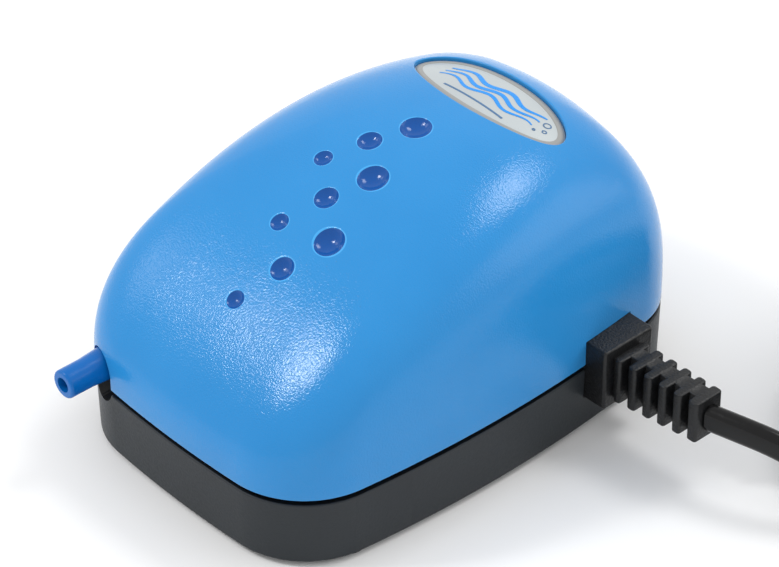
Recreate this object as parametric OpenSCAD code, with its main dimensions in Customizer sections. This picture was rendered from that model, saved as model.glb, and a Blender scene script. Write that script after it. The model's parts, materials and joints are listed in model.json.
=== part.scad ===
// One-outlet diaphragm air pump for an aquarium: housing, electromagnet,
// vibrating arm, diaphragm head, air outlet and mains lead.
// Units are millimetres. +Z is up, -Y is the front (the outlet's side), and the
// lead leaves on the +X side. Everything is laid out about the middle of the
// body, then moved so that the origin is the bottom centre of body plus nozzle.

/* [Housing] */
// Length of the body, front to rear
body_l = 98; // [96:0.5:104]
// Width of the body at its widest
body_w = 69.4; // [68:0.2:74]
// Height of the cover above the floor, at the middle of its length
crown_mid = 52.9; // [51:0.1:56]
// Height of the tray's rim above the floor
tray_top = 14; // [13.6:0.1:14.4]
// Gap between the tray's rim and the cover's edge
shadow_gap = 1; // [0.6:0.1:1.2]
// Thickness of the cover and of the tray's wall
wall = 2.2; // [1.8:0.1:2.4]
// Height of the rubber feet below the tray
foot_drop = 1; // [0.8:0.1:1.2]

/* [Outlet] */
// Radius of the nozzle's straight end, for 4 mm airline
nozzle_r = 2.75; // [2.6:0.05:2.85]
// Radius of the nozzle's bore
nozzle_bore_r = 1.4; // [1.2:0.1:1.6]
// How far the nozzle reaches in front of the body
nozzle_out = 6.8; // [6:0.1:8]
// Distance of the nozzle from the middle of the body
nozzle_x = -21.2; // [-21.6:0.1:-20.8]
// Height of the nozzle's axis
nozzle_z = 18.1; // [17.9:0.1:18.2]

/* [Motor] */
// Height of the motor's middle plane
motor_z = 20; // [19.6:0.1:20.4]
// Width of the steel core
core_w = 38; // [37:0.5:38.5]
// Depth of the steel core
core_d = 26; // [25:0.5:26.5]
// Height of the stack of steel sheets
core_h = 14; // [13:0.5:14.5]
// Thickness of the arm's blade
arm_t = 2.4; // [2:0.1:2.6]

/* [Lead] */
// Width of the flat two-core cord
cord_w = 5.4; // [5.2:0.1:5.5]
// Thickness of the flat two-core cord
cord_t = 3.4; // [3.2:0.1:3.5]
// Length of the plug's round pins
pin_l = 19; // [18:0.5:19.5]
// Radius of the plug's round pins
pin_r = 2; // [1.9:0.05:2.1]

/* [Hidden] */

$fn = 48;
body_y = nozzle_out / 2;
tiny = 0.02;

// Colours shared by several sub-parts
steel = [0.75, 0.76, 0.78];
black = [0.12, 0.12, 0.13];
cord_black = [0.08, 0.08, 0.09];
dark_grey = [0.25, 0.26, 0.28];
nylon = [0.93, 0.93, 0.9];
valve_red = [0.75, 0.3, 0.2];

// Plan outline: four large arcs, joined by round corners
front_r = 248;
rear_r = 134;
side_r = 272;
front_corner_r = 17;
rear_corner_r = 14.4;
front_mid = [0, front_r - body_l / 2];
rear_mid = [0, body_l / 2 - rear_r];
side_mid = [body_w / 2 - side_r, 0];
arc_steps = [5, 8, 12, 8, 5];

// Meeting point of two circles, on the side that sign picks
function meet(c1, r1, c2, r2, sign) =
    let (d = norm(c2 - c1), a = (r1 * r1 - r2 * r2 + d * d) / (2 * d),
        h = sqrt(r1 * r1 - a * a), u = (c2 - c1) / d)
    c1 + a * u + sign * h * [-u[1], u[0]];
function heading(v) = atan2(v[1], v[0]);
function arc(c, r, a0, a1, n) = [for (i = [0 : n - 1])
    let (a = a0 + (a1 - a0) * i / n) c + r * [cos(a), sin(a)]];

front_corner = meet(front_mid, front_r - front_corner_r, side_mid,
    side_r - front_corner_r, 1);
rear_corner = meet(rear_mid, rear_r - rear_corner_r, side_mid,
    side_r - rear_corner_r, -1);
a_front = heading(front_corner - front_mid);
a_side_0 = heading(front_corner - side_mid);
a_side_1 = heading(rear_corner - side_mid);
a_rear = heading(rear_corner - rear_mid);

// Right half of the outline moved in by a distance, from front to rear
function half_outline(inset) = concat(
    arc(front_mid, front_r - inset, -90, a_front, arc_steps[0]),
    arc(front_corner, front_corner_r - inset, a_front, a_side_0, arc_steps[1]),
    arc(side_mid, side_r - inset, a_side_0, a_side_1, arc_steps[2]),
    arc(rear_corner, rear_corner_r - inset, a_side_1, a_rear, arc_steps[3]),
    arc(rear_mid, rear_r - inset, a_rear, 90, arc_steps[4]));
function outline(inset) = let (h = half_outline(inset), n = len(h)) concat(
    h, [[0, body_l / 2 - inset]], [for (i = [n - 1 : -1 : 1]) [-h[i][0], h[i][1]]]);

// Crown: the cover's surface falls from the crown to the edge as a superellipse
edge_z = tray_top + shadow_gap;
peak_y = 27.3;
side_power = 3.5;
front_power = 3.85;
function slant(x, y) = atan2(y - peak_y, abs(x)) / 90;
function power(x, y) = let (a = min(slant(x, y), 0))
    side_power + (front_power - side_power) * a * a;
function crown(x, y) = let (u = x / body_l, v = y / body_l)
    crown_mid + 19.6 * v - 57.2 * v * v - 14.1 * v * v * v
    - 24.7 * u * u - 85 * u * u * v + 246 * u * u * u * u;
function fall(x, y, s) = let (m = power(x, y)) pow(1 - pow(s, m), 1 / m);

// How far the outline lies from the peak in a point's direction
function reach_arc(d, c, r) = let (p = [0, peak_y] - c, b = p * d)
    -b + sqrt(b * b - p * p + r * r);
function bearing(p) = heading(p - [0, peak_y]);
b_front = bearing(front_mid + front_r * [cos(a_front), sin(a_front)]);
b_side_0 = bearing(side_mid + side_r * [cos(a_side_0), sin(a_side_0)]);
b_side_1 = bearing(side_mid + side_r * [cos(a_side_1), sin(a_side_1)]);
b_rear = bearing(rear_mid + rear_r * [cos(a_rear), sin(a_rear)]);
function reach(b) = let (d = [cos(b), sin(b)])
    b < b_front ? reach_arc(d, front_mid, front_r)
    : b < b_side_0 ? reach_arc(d, front_corner, front_corner_r)
    : b < b_side_1 ? reach_arc(d, side_mid, side_r)
    : b < b_rear ? reach_arc(d, rear_corner, rear_corner_r)
    : reach_arc(d, rear_mid, rear_r);
function dome_z(x, y) = let (p = [abs(x), y], s = norm(p - [0, peak_y]) / reach(bearing(p)))
    edge_z + (crown(x, y) - edge_z) * fall(x, y, min(s, 1));
function dome_normal(x, y) = let (h = 0.1,
    n = [(dome_z(x - h, y) - dome_z(x + h, y)) / (2 * h),
        (dome_z(x, y - h) - dome_z(x, y + h)) / (2 * h), 1]) n / norm(n);

// Rings of one skin of the cover, from its edge up to the peak
dome_rings = 13;
function ring(inset, drop, i) = let (phi = 90 * i / dome_rings)
    [for (p = outline(inset)) let (m = power(p[0], p[1]),
        s = pow(cos(phi), 2 / m), f = pow(sin(phi), 2 / m),
        x = p[0] * s, y = peak_y + (p[1] - peak_y) * s)
        [x, y, edge_z + (crown(x, y) - drop - edge_z) * f]];
function skin(inset, drop) = concat([for (i = [0 : dome_rings - 1]) each ring(inset, drop, i)],
    [[0, peak_y, crown(0, peak_y) - drop]]);
function skin_faces(n, first, flip) = let (apex = first + n * dome_rings)
    [for (i = [0 : dome_rings - 1], j = [0 : n - 1])
        let (a = first + i * n + j, b = first + i * n + (j + 1) % n,
            q = i == dome_rings - 1 ? [[a, b, apex]] : [[a, b, b + n], [a, b + n, a + n]])
        for (t = q) flip ? [t[2], t[1], t[0]] : t];

// Details that cut the housing
slot_r = 4;
slot_low_z = 14.9;
slot_high_z = nozzle_z - 0.7;
nozzle_straight = 5;
nozzle_root_r = nozzle_r + 0.35;
nozzle_taper = 5;
collar_r = 4.8;
collar_y = [-44.1, -42.8];
barb_r = 2.6;
barb_end = -36.5;
tube_r = 3.9;
flange_x = 38.8;
flange_y = 24.4;
flange_z = 14;
flange_w = 12;
flange_h = 12.6;
plate_w = 13.4;
plate_h = 14;
plate_x = [28, 29.8];
neck_w = 6.4;
neck_h = 8.8;
badge_y = 26.4;
badge_a = 17.8;
badge_b = 7.5;
badge_sink = 0.9;
badge_t = 0.5;

// Dimples: three rows of three, shrinking towards the front
dimple_mid = [0, -12.4];
dimple_along = [-3.8, -7.5];
dimple_across = [3.4, -13.2];
dimple_d = [5.8, 4.6, 3.55];
dimple_depth = 0.24;

// Screw wells, shared by the tray, the cover, the screws and the feet
well_xy = [[-28, -33], [28, -33], [-26.5, 36.5], [26.5, 36.5]];
well_r = 3.1;
foot_r = 3.2;
boss_r = 2.8;
boss_top = 27;
boss_bore_r = 1.5;
boss_web_t = 1.6;
boss_web_x = 30.3;
screw_seat_z = 8;
screw_r = 1.45;

// Motor and arm
core_y = 14;
leg_w = 5.5;
mid_leg_w = 10;
yoke_d = 6.5;
pivot_y = -36;
knuckle_r = 2.5;
magnet_y = [6.2, 12.2];
magnet_w = 8.2;
magnet_h = 12;
bush_r = 3.8;
post_x = 11.5;
post_front = pivot_y - 4.8;
post_back = pivot_y + 6.5;
post_top = 26;
cap_t = 1.6;
pivot_screw_x = 8.2;
core_post_xy = [[-13.5, 37], [13.5, 37], [-16.2, 17.5], [16.2, 17.5]];
core_post_r = 2.7;
core_hole_r = 1.6;
core_screw_r = 1.5;

// Diaphragm head: a stack along X, fixed by four long screws
head_y = -12;
head_w = 26;
head_face = -13;
head_back = -26;
head_screw = 10.8;
head_bore_r = 1.35;
head_screw_r = 1.3;
stud_hole_r = 1.6;
clamp_x = [-11.5, -9.5];
clamp_bore_r = 10.6;
working_r = 9.4;
port_y = 4.5;
port_r = 1.6;
flap_w = 5;
flap_t = 0.6;
flap_z0 = 16.6;
flap_z1 = 24;
chamber_face = -17;
recess = 1.2;
inlet_flap_x = head_face - recess + 0.4;
outlet_flap_x = chamber_face - 0.4;
ear_x = -15.5;
ear_y = [-28, 4];
ear_z = 9;

// Strain relief: ribs along X, each a little smaller than the last
rib_n = 6;
rib_pitch = 3.35;
rib_t = 1.9;
rib_x = 38.95;
rib_w = [7.6, 6.6];
rib_h = [9.5, 8.5];
rib_y = [23.9, 25.1];
web_w = 3.3;
web_shift = 0.5;
last_rib_more = 0.3;
relief_end = rib_x + rib_pitch * (rib_n - 1) + rib_t + last_rib_more;

// Cord: where it lies between the strain relief and the coil, and its tail
cord_z = flange_z;
coil_mid = [85, 74];
coil_rings = [24.2, 35.2];
coil_h = 11.3;
tie_angle = -20;
tie_w = 3.5;
tie_t = 0.35;
cord_route = [
    [relief_end, 25.2, cord_z],
    [60, 25.7, 14],
    [63, 26.45, 14],
    [66, 27.3, 13.9],
    [69, 28.3, 13.6],
    [72, 29.4, 13],
    [75, 30.7, 12.1],
    [78.5, 32.4, 10.7],
    [82, 34.3, 8.9],
    [85.5, 36.4, 7.1],
    [89, 38.7, 5.5],
    [91.2, 40, 4.7],
    [93.5, 41.2, 4]];
tail_route = [
    [83, 107.2, 8.5],
    [76.5, 106.1, 9.4],
    [70.6, 103.9, 11],
    [65, 100.5, 12.7],
    [60, 95.9, 13.8],
    [56, 90.1, 14.1],
    [53.2, 83.5, 14.1],
    [51.9, 76, 14.1],
    [52.3, 68, 14.1],
    [54.8, 60.2, 14.1],
    [59, 53.4, 14.1],
    [65, 47.4, 14.1],
    [72, 43.4, 14.1],
    [79, 41.3, 14.1],
    [85, 40.8, 14.2],
    [89, 41.2, 14.4],
    [93, 42.4, 14.8],
    [97, 44.6, 15.3],
    [100.4, 47.6, 15.9],
    [103.2, 51.5, 16.6],
    [105.2, 56, 17.4],
    [106, 60, 18]];
plug_x = 106;
plug_y = 60;
plug_z = coil_h + 6.8;
boot_l = 10;
plug_l = 34;
plug_w = 35.3;
plug_t = 13.6;
pin_pitch = 18.6;
boot_r = [3.6, 4.8];
plug_nose = 6.5;
plug_flare_y = 20;

// Leads inside the housing, from the strain relief to the coil
lead_r = 0.9;
sleeve_r = 1.6;
lead_route_a = [[28, 23.1, 14.6], [26.4, 23.1, 14.8], [24.4, 23.1, 17],
    [23.2, 23, 21.5], [22.6, 23, 27.5], [21, 22.9, 33], [17.5, 22.3, 36.2],
    [13, 22, 36.8], [8, 22, 36.8]];
lead_route_b = [[28, 25.7, 14.6], [26.4, 25.7, 14.8], [24.4, 25.9, 17],
    [23.2, 26.3, 21.5], [22.6, 26.8, 27.5], [21, 27, 33], [17.5, 27, 36.2],
    [13, 27, 36.8], [8, 27, 36.8]];

// ---- helpers ----

module placed() translate([0, body_y, 0]) children();

// A solid cylinder along X or Y
module rod_x(x0, x1, y, z, r) translate([x0, y, z]) rotate([0, 90, 0]) cylinder(r=r, h=x1 - x0);
module rod_y(y0, y1, x, z, r) translate([x, y0, z]) rotate([-90, 0, 0]) cylinder(r=r, h=y1 - y0);
module rod_z(z0, z1, x, y, r) translate([x, y, z0]) cylinder(r=r, h=z1 - z0);

// A box between two corners
module box(a, b) translate(a) cube(b - a);

// A rectangle with round corners, centred
module rounded_rect(w, h, r) {
    square([w - 2 * r, h], center=true);
    square([w, h - 2 * r], center=true);
    for (x = [-1, 1], y = [-1, 1]) translate([x * (w / 2 - r), y * (h / 2 - r)]) circle(r=r);
}

// A body swept along a route: each ring is a flattened circle, wide side upright
function along(p, i) = let (a = p[max(i - 1, 0)], b = p[min(i + 1, len(p) - 1)]) (b - a) / norm(b - a);
function stadium(w, t, n) = [for (k = [0 : n - 1]) let (a = 360 * (k + 0.5) / n,
    c = cos(a), s = sin(a)) [t / 2 * c, t / 2 * s + sign(s) * (w - t) / 2]];
module sweep(route, w, t, n) {
    m = len(route);
    section = stadium(w, t, n);
    points = [for (i = [0 : m - 1]) let (d = along(route, i), side = cross(d, [0, 0, 1]),
        across = side / norm(side), up = cross(across, d))
        for (q = section) route[i] + across * q[0] + up * q[1]];
    sides = [for (i = [0 : m - 2], k = [0 : n - 1]) let (a = i * n + k, b = i * n + (k + 1) % n)
        each [[a, b, b + n], [a, b + n, a + n]]];
    ends = [[for (k = [n - 1 : -1 : 0]) k], [for (k = [0 : n - 1]) (m - 1) * n + k]];
    polyhedron(points=points, faces=concat([for (f = sides) [f[2], f[1], f[0]]],
        [for (f = ends) [for (k = [len(f) - 1 : -1 : 0]) f[k]]]), convexity=6);
}

// The badge's shape as a curved plate between two depths below the dome
module badge_plate(low, high, grow) {
    rings = 5;
    n = 40;
    flat = concat([[0, badge_y]], [for (i = [1 : rings], k = [0 : n - 1])
        let (s = i / rings, a = 360 * k / n)
        [(badge_a + grow) * s * cos(a), badge_y + (badge_b + grow) * s * sin(a)]]);
    count = len(flat);
    points = concat([for (p = flat) [p[0], p[1], dome_z(p[0], p[1]) + low]],
        [for (p = flat) [p[0], p[1], dome_z(p[0], p[1]) + high]]);
    cap = concat([for (k = [0 : n - 1]) [0, 1 + k, 1 + (k + 1) % n]],
        [for (i = [1 : rings - 1], k = [0 : n - 1])
            let (a = 1 + (i - 1) * n + k, b = 1 + (i - 1) * n + (k + 1) % n)
            each [[a, a + n, b + n], [a, b + n, b]]]);
    rim = [for (k = [0 : n - 1]) let (a = count - n + k, b = count - n + (k + 1) % n)
        each [[a, b, b + count], [a, b + count, a + count]]];
    polyhedron(points=points, faces=concat(cap, [for (f = rim) [f[2], f[1], f[0]]],
        [for (f = cap) [f[2] + count, f[1] + count, f[0] + count]]), convexity=4);
}

// The slot that the nozzle leaves through, cut in cover and tray
module nozzle_slot() {
    y0 = -body_l / 2 - 2;
    y1 = -39;
    rod_y(y0, y1, nozzle_x, slot_low_z, slot_r);
    rod_y(y0, y1, nozzle_x, slot_high_z, slot_r);
    box([nozzle_x - slot_r, y0, slot_low_z], [nozzle_x + slot_r, y1, slot_high_z]);
}

// The room round the nozzle's collar, cut in cover and tray
module collar_pocket() rod_y(collar_y[0] - 1.9, collar_y[1] + 0.2, nozzle_x, nozzle_z, collar_r + 0.2);

// The window that the strain relief's block fills
module relief_window() {
    gap = 0.1;
    room = 0.2;
    box([plate_x[0] - 1, flange_y - flange_w / 2 - gap, flange_z - flange_h / 2 - gap],
        [flange_x + 1.2, flange_y + flange_w / 2 + gap, flange_z + flange_h / 2 + gap]);
    box([plate_x[0] - 2, flange_y - plate_w / 2 - room, flange_z - plate_h / 2 - room],
        [plate_x[1] + 0.3, flange_y + plate_w / 2 + room, flange_z + plate_h / 2 + room]);
}

// A pan-head screw pointing up or down, its head's seat at z = 0
module screw(r, head_r, head_h, l) {
    translate([0, 0, -head_h]) difference() {
        cylinder(r=head_r, h=head_h);
        for (a = [0, 90]) rotate(a) box([-head_r * 0.6, -0.35, -1], [head_r * 0.6, 0.35, head_h * 0.45]);
    }
    cylinder(r=r, h=l);
}

// ---- housing ----

module cover_shell() {
    outer = skin(0, 0);
    inner = skin(wall, wall);
    n = len(outline(0));
    first = len(outer);
    rim = [for (j = [0 : n - 1]) let (a = j, b = (j + 1) % n)
        each [[a, first + a, first + b], [a, first + b, b]]];
    polyhedron(points=concat(outer, inner), faces=concat(skin_faces(n, 0, true),
        skin_faces(n, first, false), [for (f = rim) [f[2], f[1], f[0]]]), convexity=8);
}

module dimples() {
    for (i = [-1 : 1], j = [-1 : 1]) {
        p = dimple_mid + i * dimple_across + j * dimple_along;
        r = dimple_d[j + 1] / 2;
        deep = dimple_depth * 2 * r;
        ball = (r * r + deep * deep) / (2 * deep);
        translate([p[0], p[1], dome_z(p[0], p[1])] + dome_normal(p[0], p[1]) * (ball - deep))
            sphere(r=ball, $fn=32);
    }
}

// A screw boss of the cover, with a web that ties it to the side wall
module cover_boss(x, y) {
    wall_x = sign(x) * boss_web_x;
    difference() {
        union() {
            rod_z(tray_top + 0.2, boss_top, x, y, boss_r);
            box([min(x, wall_x), y - boss_web_t / 2, edge_z + 0.5],
                [max(x, wall_x), y + boss_web_t / 2, boss_top - 3.5]);
        }
        rod_z(tray_top, boss_top - 2, x, y, boss_bore_r);
    }
}

module top_cover() color([0.25, 0.6, 0.9]) {
    difference() {
        cover_shell();
        badge_plate(-badge_sink - badge_t - tiny, 4, 0.15);
        dimples();
        nozzle_slot();
        collar_pocket();
        relief_window();
    }
    for (p = well_xy) cover_boss(p[0], p[1]);
}

module base_tray() color(dark_grey) {
    lip = wall + 0.2;
    lip_t = 1.2;
    lip_low = 10;
    lip_h = 7;
    lip_high = lip_low + lip_h + 1;
    floor_t = 2.4;
    floor_z = foot_drop + floor_t;
    filter_z = 5.6;
    difference() {
        union() {
            difference() {
                translate([0, 0, foot_drop]) linear_extrude(tray_top - foot_drop) polygon(outline(0));
                translate([0, 0, floor_z]) linear_extrude(tray_top) polygon(outline(lip));
            }
            difference() {
                translate([0, 0, lip_low]) linear_extrude(lip_h) polygon(outline(lip));
                translate([0, 0, lip_low - 1]) linear_extrude(lip_h + 2) polygon(outline(lip + lip_t));
                for (p = well_xy) {
                    rod_z(tray_top, lip_high, p[0], p[1], boss_r + 0.3);
                    box([min(p[0], sign(p[0]) * 34), p[1] - 1.1, tray_top],
                        [max(p[0], sign(p[0]) * 34), p[1] + 1.1, lip_high]);
                }
            }
            for (p = well_xy) rod_z(foot_drop, tray_top, p[0], p[1], well_r + 1.1);
            for (p = core_post_xy) rod_z(floor_z - tiny, motor_z - core_h / 2, p[0], p[1], core_post_r);
            for (y = ear_y) rod_z(floor_z - tiny, ear_z, ear_x, y, 3);
            box([-post_x, post_front, floor_z - tiny], [post_x, post_back, post_top]);
            box([nozzle_x - 4.2, -42.4, floor_z - tiny], [nozzle_x + 4.2, -39.6, nozzle_z]);
            box([6, -26, floor_z - tiny], [30, -6, filter_z]);
        }
        nozzle_slot_low();
        relief_window();
        for (p = well_xy) {
            rod_z(0, screw_seat_z, p[0], p[1], well_r);
            rod_z(0, tray_top + 1, p[0], p[1], 1.7);
        }
        for (i = [0, 1]) rod_z(6, motor_z, core_post_xy[i][0], core_post_xy[i][1],
            core_screw_r + 0.05);
        for (y = ear_y) rod_z(floor_z, ear_z + 1, ear_x, y, 1.3);
        rod_z(12, 27, 0, pivot_y, bush_r + 0.05);
        box([-3.2, pivot_y, 12], [3.2, pivot_y + 7, 27]);
        for (s = [-1, 1]) rod_z(14, 27, s * pivot_screw_x, pivot_y, 1.05);
        collar_pocket();
        rod_y(collar_y[1] - 0.2, -39, nozzle_x, nozzle_z, tube_r + 0.1);
        box([8, -24, 0], [28, -8, filter_z - 1]);
        for (x = [12, 18, 24], y = [-20, -12]) rod_z(0, 7, x, y, 1.3);
    }
}

// The tray's share of the nozzle's slot, kept out of the cradle behind it
module nozzle_slot_low() intersection() {
    nozzle_slot();
    box([-30, -60, 0], [0, -43.4, 30]);
}

module badge() color([0.8, 0.82, 0.83]) badge_plate(-badge_sink - badge_t, -badge_sink, 0);

module foot(i) color(black) {
    rod_z(0, foot_drop, well_xy[i][0], well_xy[i][1], foot_r);
    rod_z(foot_drop - tiny, 5, well_xy[i][0], well_xy[i][1], well_r - 0.05);
}
module foot_front_left() foot(0);
module foot_front_right() foot(1);
module foot_rear_left() foot(2);
module foot_rear_right() foot(3);

module housing_screws() color(steel)
    for (p = well_xy) translate([p[0], p[1], screw_seat_z]) screw(screw_r, 2.8, 2, 16);

module air_filter() color([0.92, 0.92, 0.88])
    box([8.2, -23.8, 2.4], [27.8, -8.2, 4.6]);

module filter_cover() color(dark_grey) difference() {
    box([8.1, -23.9, foot_drop], [27.9, -8.1, 2.4]);
    for (x = [11 : 2.4 : 25.4]) box([x, -21.5, 0], [x + 1.2, -10.5, 3]);
}

// ---- air outlet ----

module outlet_nozzle() color([0.15, 0.45, 0.85]) difference() {
    union() {
        tip = -body_l / 2 - nozzle_out;
        rod_y(tip, tip + nozzle_straight, nozzle_x, nozzle_z, nozzle_r);
        translate([nozzle_x, tip + nozzle_straight - tiny, nozzle_z]) rotate([-90, 0, 0])
            cylinder(r1=nozzle_r, r2=nozzle_root_r, h=nozzle_taper);
        rod_y(tip + nozzle_straight + nozzle_taper - 0.1, collar_y[0] + 0.1, nozzle_x, nozzle_z,
            nozzle_root_r);
        rod_y(collar_y[0], collar_y[1], nozzle_x, nozzle_z, collar_r);
        rod_y(collar_y[1] - 0.2, barb_end, nozzle_x, nozzle_z, barb_r);
    }
    rod_y(-body_l / 2 - nozzle_out - 1, -36, nozzle_x, nozzle_z, nozzle_bore_r);
}

module outlet_tube() color([0.85, 0.87, 0.86]) difference() {
    rod_y(collar_y[1] + 0.1, -26.2, nozzle_x, nozzle_z, tube_r);
    rod_y(collar_y[1] - 0.2, -26, nozzle_x, nozzle_z, barb_r + 0.05);
}

// ---- electromagnet ----

module core_laminations() color([0.45, 0.46, 0.48]) difference() {
    z0 = motor_z - core_h / 2;
    y1 = core_y + core_d;
    box([-core_w / 2, core_y, z0], [core_w / 2, y1, z0 + core_h]);
    for (s = [-1, 1]) {
        a = s * mid_leg_w / 2;
        b = s * (core_w / 2 - leg_w);
        box([min(a, b), core_y - 1, z0 - 1], [max(a, b), y1 - yoke_d, z0 + core_h + 1]);
    }
    for (i = [0, 1]) rod_z(z0 - 1, z0 + core_h + 1, core_post_xy[i][0], core_post_xy[i][1],
        core_hole_r);
}

module core_screws() color(steel)
    for (i = [0, 1]) translate([core_post_xy[i][0], core_post_xy[i][1], motor_z + core_h / 2])
        mirror([0, 0, 1]) screw(core_screw_r, 2.8, 2, 19);

bobbin_y = [core_y + 0.6, core_y + core_d - yoke_d - 0.2];
module coil_section(w, h, r, y0, y1) translate([0, y1, motor_z]) rotate([90, 0, 0])
    linear_extrude(y1 - y0) rounded_rect(w, h, r);

module coil_bobbin() color([0.9, 0.88, 0.8]) difference() {
    union() {
        coil_section(mid_leg_w + 2.4, core_h + 2.4, 1, bobbin_y[0], bobbin_y[1]);
        for (y = [bobbin_y[0], bobbin_y[1] - 1.2]) coil_section(25.6, 29.6, 1.5, y, y + 1.2);
    }
    box([-mid_leg_w / 2 - 0.1, core_y, motor_z - core_h / 2 - 0.1],
        [mid_leg_w / 2 + 0.1, core_y + core_d, motor_z + core_h / 2 + 0.1]);
}

module coil_winding() color([0.7, 0.35, 0.15]) difference() {
    coil_section(24, 28, 3, bobbin_y[0] + 1.25, bobbin_y[1] - 1.25);
    coil_section(mid_leg_w + 2.5, core_h + 2.5, 1, bobbin_y[0], bobbin_y[1]);
}

module winding_tape() color([0.85, 0.75, 0.3]) difference() {
    coil_section(25, 29, 3.5, bobbin_y[0] + 2.5, bobbin_y[1] - 2.5);
    coil_section(24.05, 28.05, 3, bobbin_y[0], bobbin_y[1]);
}

module lead_live() color([0.4, 0.22, 0.12]) sweep(lead_route_a, 2 * lead_r, 2 * lead_r - tiny, 8);
module lead_neutral() color([0.15, 0.35, 0.75]) sweep(lead_route_b, 2 * lead_r, 2 * lead_r - tiny, 8);
module splice_sleeves() color([0.9, 0.9, 0.88]) for (y = [22, 27]) rod_x(0, 8, y, 36.8, sleeve_r);

// ---- vibrating arm ----

module vibrating_arm() color([0.9, 0.9, 0.87]) {
    low = motor_z - 5;
    high = motor_z + 5;
    rod_z(12.4, 25.4, 0, pivot_y, knuckle_r);
    difference() {
        box([-arm_t / 2, pivot_y, low], [arm_t / 2, 4, high]);
        rod_x(-5, 5, head_y, motor_z, stud_hole_r);
    }
    box([-9.5, 3, motor_z - 6.5], [9.5, 5, motor_z + 6.5]);
}

module magnet_backplate() color([0.6, 0.61, 0.63])
    box([-9.5, 5, motor_z - 6.5], [9.5, magnet_y[0], motor_z + 6.5]);

module magnet(x0) color([0.2, 0.2, 0.21])
    box([x0, magnet_y[0], motor_z - magnet_h / 2], [x0 + magnet_w, magnet_y[1], motor_z + magnet_h / 2]);
module magnet_left() magnet(-0.8 - magnet_w);
module magnet_right() magnet(0.8);

module pivot_bush() color([0.13, 0.13, 0.14]) difference() {
    rod_z(12.1, 25.9, 0, pivot_y, bush_r);
    rod_z(12, 26, 0, pivot_y, knuckle_r + 0.05);
    box([-2.1, pivot_y, 12], [2.1, pivot_y + 6, 27]);
}

module pivot_cap() color(dark_grey) difference() {
    box([-post_x, post_front, post_top], [post_x, post_back, post_top + cap_t]);
    for (s = [-1, 1]) rod_z(post_top - 1, post_top + 3, s * pivot_screw_x, pivot_y, 1.2);
}

module pivot_screws() color(steel)
    for (s = [-1, 1]) translate([s * pivot_screw_x, pivot_y, post_top + cap_t])
        mirror([0, 0, 1]) screw(1, 2, 1.2, 11);

// ---- diaphragm head ----

// A ring around the diaphragm's axis, drawn from [x, radius] points
module turned(profile) translate([0, head_y, motor_z]) rotate([0, 90, 0])
    rotate_extrude() polygon([for (p = profile) [p[1], p[0]]]);

module diaphragm() color([0.1, 0.1, 0.11]) turned([[-13, 9.6], [-13, 12], [-11.5, 12],
    [-11.5, 10], [-8.2, 9.2], [-3.2, 6.4], [-3.2, 1.6], [-5.2, 1.6], [-5.2, 6], [-8.6, 8.2],
    [-11.8, 9]]);

module diaphragm_clamp() color([0.8, 0.8, 0.78]) difference() {
    box([clamp_x[0], head_y - head_w / 2, motor_z - head_w / 2],
        [clamp_x[1], head_y + head_w / 2, motor_z + head_w / 2]);
    rod_x(clamp_x[0] - 0.5, clamp_x[1] + 0.5, head_y, motor_z, clamp_bore_r);
    head_screw_holes();
}

module head_screw_holes() for (y = [-1, 1], z = [-1, 1])
    rod_x(-31, 0, head_y + y * head_screw, motor_z + z * head_screw, head_bore_r);

module diaphragm_plate() color([0.85, 0.85, 0.83])
    turned([[-3.2, stud_hole_r], [-3.2, 5.5], [-arm_t / 2, 5.5], [-arm_t / 2, stud_hole_r]]);
module diaphragm_washer() color([0.85, 0.85, 0.83])
    turned([[-7, 0], [-7, 4.5], [-5.2, 4.5], [-5.2, 1.6], [-6.4, 1.6], [-6.4, 0]]);

module diaphragm_screw() color(steel) translate([arm_t / 2, head_y, motor_z])
    rotate([0, -90, 0]) screw(1.5, 2.8, 1.8, arm_t / 2 + 6.2);

module valve_body() color(nylon) {
    y0 = head_y - head_w / 2;
    y1 = head_y + head_w / 2;
    z0 = motor_z - head_w / 2;
    z1 = motor_z + head_w / 2;
    flap_ears(head_face - recess - 0.1, head_face - 0.1, inlet_flap_x, head_y + port_y);
    flap_ears(chamber_face - 1, chamber_face + 0.1, outlet_flap_x, head_y - port_y);
    difference() {
        union() {
            box([head_back, y0, z0], [head_face, y1, z1]);
            rod_y(y0 - 8, y0 + 0.5, nozzle_x, nozzle_z, barb_r);
            for (s = [0, 1]) box([-19, s ? y1 - 1 : y0 - 6, ear_z], [-12.7, s ? y1 + 6 : y0 + 1, ear_z + 3]);
        }
        rod_x(head_face - recess, head_face + 1, head_y, motor_z, working_r);
        for (s = [-1, 1]) {
            rod_x(head_face - 5, head_face, head_y + s * port_y, motor_z, port_r);
            box([head_back - 1, head_y + (s < 0 ? -11.8 : 1), z0 + 5],
                [chamber_face, head_y + (s < 0 ? -1 : 11.8), z1 - 5]);
        }
        rod_y(y0 - 9, y0 + 3, nozzle_x, nozzle_z, nozzle_bore_r);
        rod_y(y1 - 3, y1 + 1, -21.5, motor_z, 2);
        head_screw_holes();
        for (y = ear_y) rod_z(ear_z - 1, ear_z + 4, ear_x, y, 1.6);
    }
}

// A rubber flap that hangs from a round bead along its upper edge
module flap(x, y) {
    rod_y(y - flap_w / 2 - 1, y + flap_w / 2 + 1, x, flap_z1, flap_t / 2);
    box([x - flap_t / 2, y - flap_w / 2, flap_z0], [x + flap_t / 2, y + flap_w / 2, flap_z1]);
}
module inlet_valve() color(valve_red) flap(inlet_flap_x, head_y + port_y);
module outlet_valve() color(valve_red) flap(outlet_flap_x, head_y - port_y);

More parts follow.
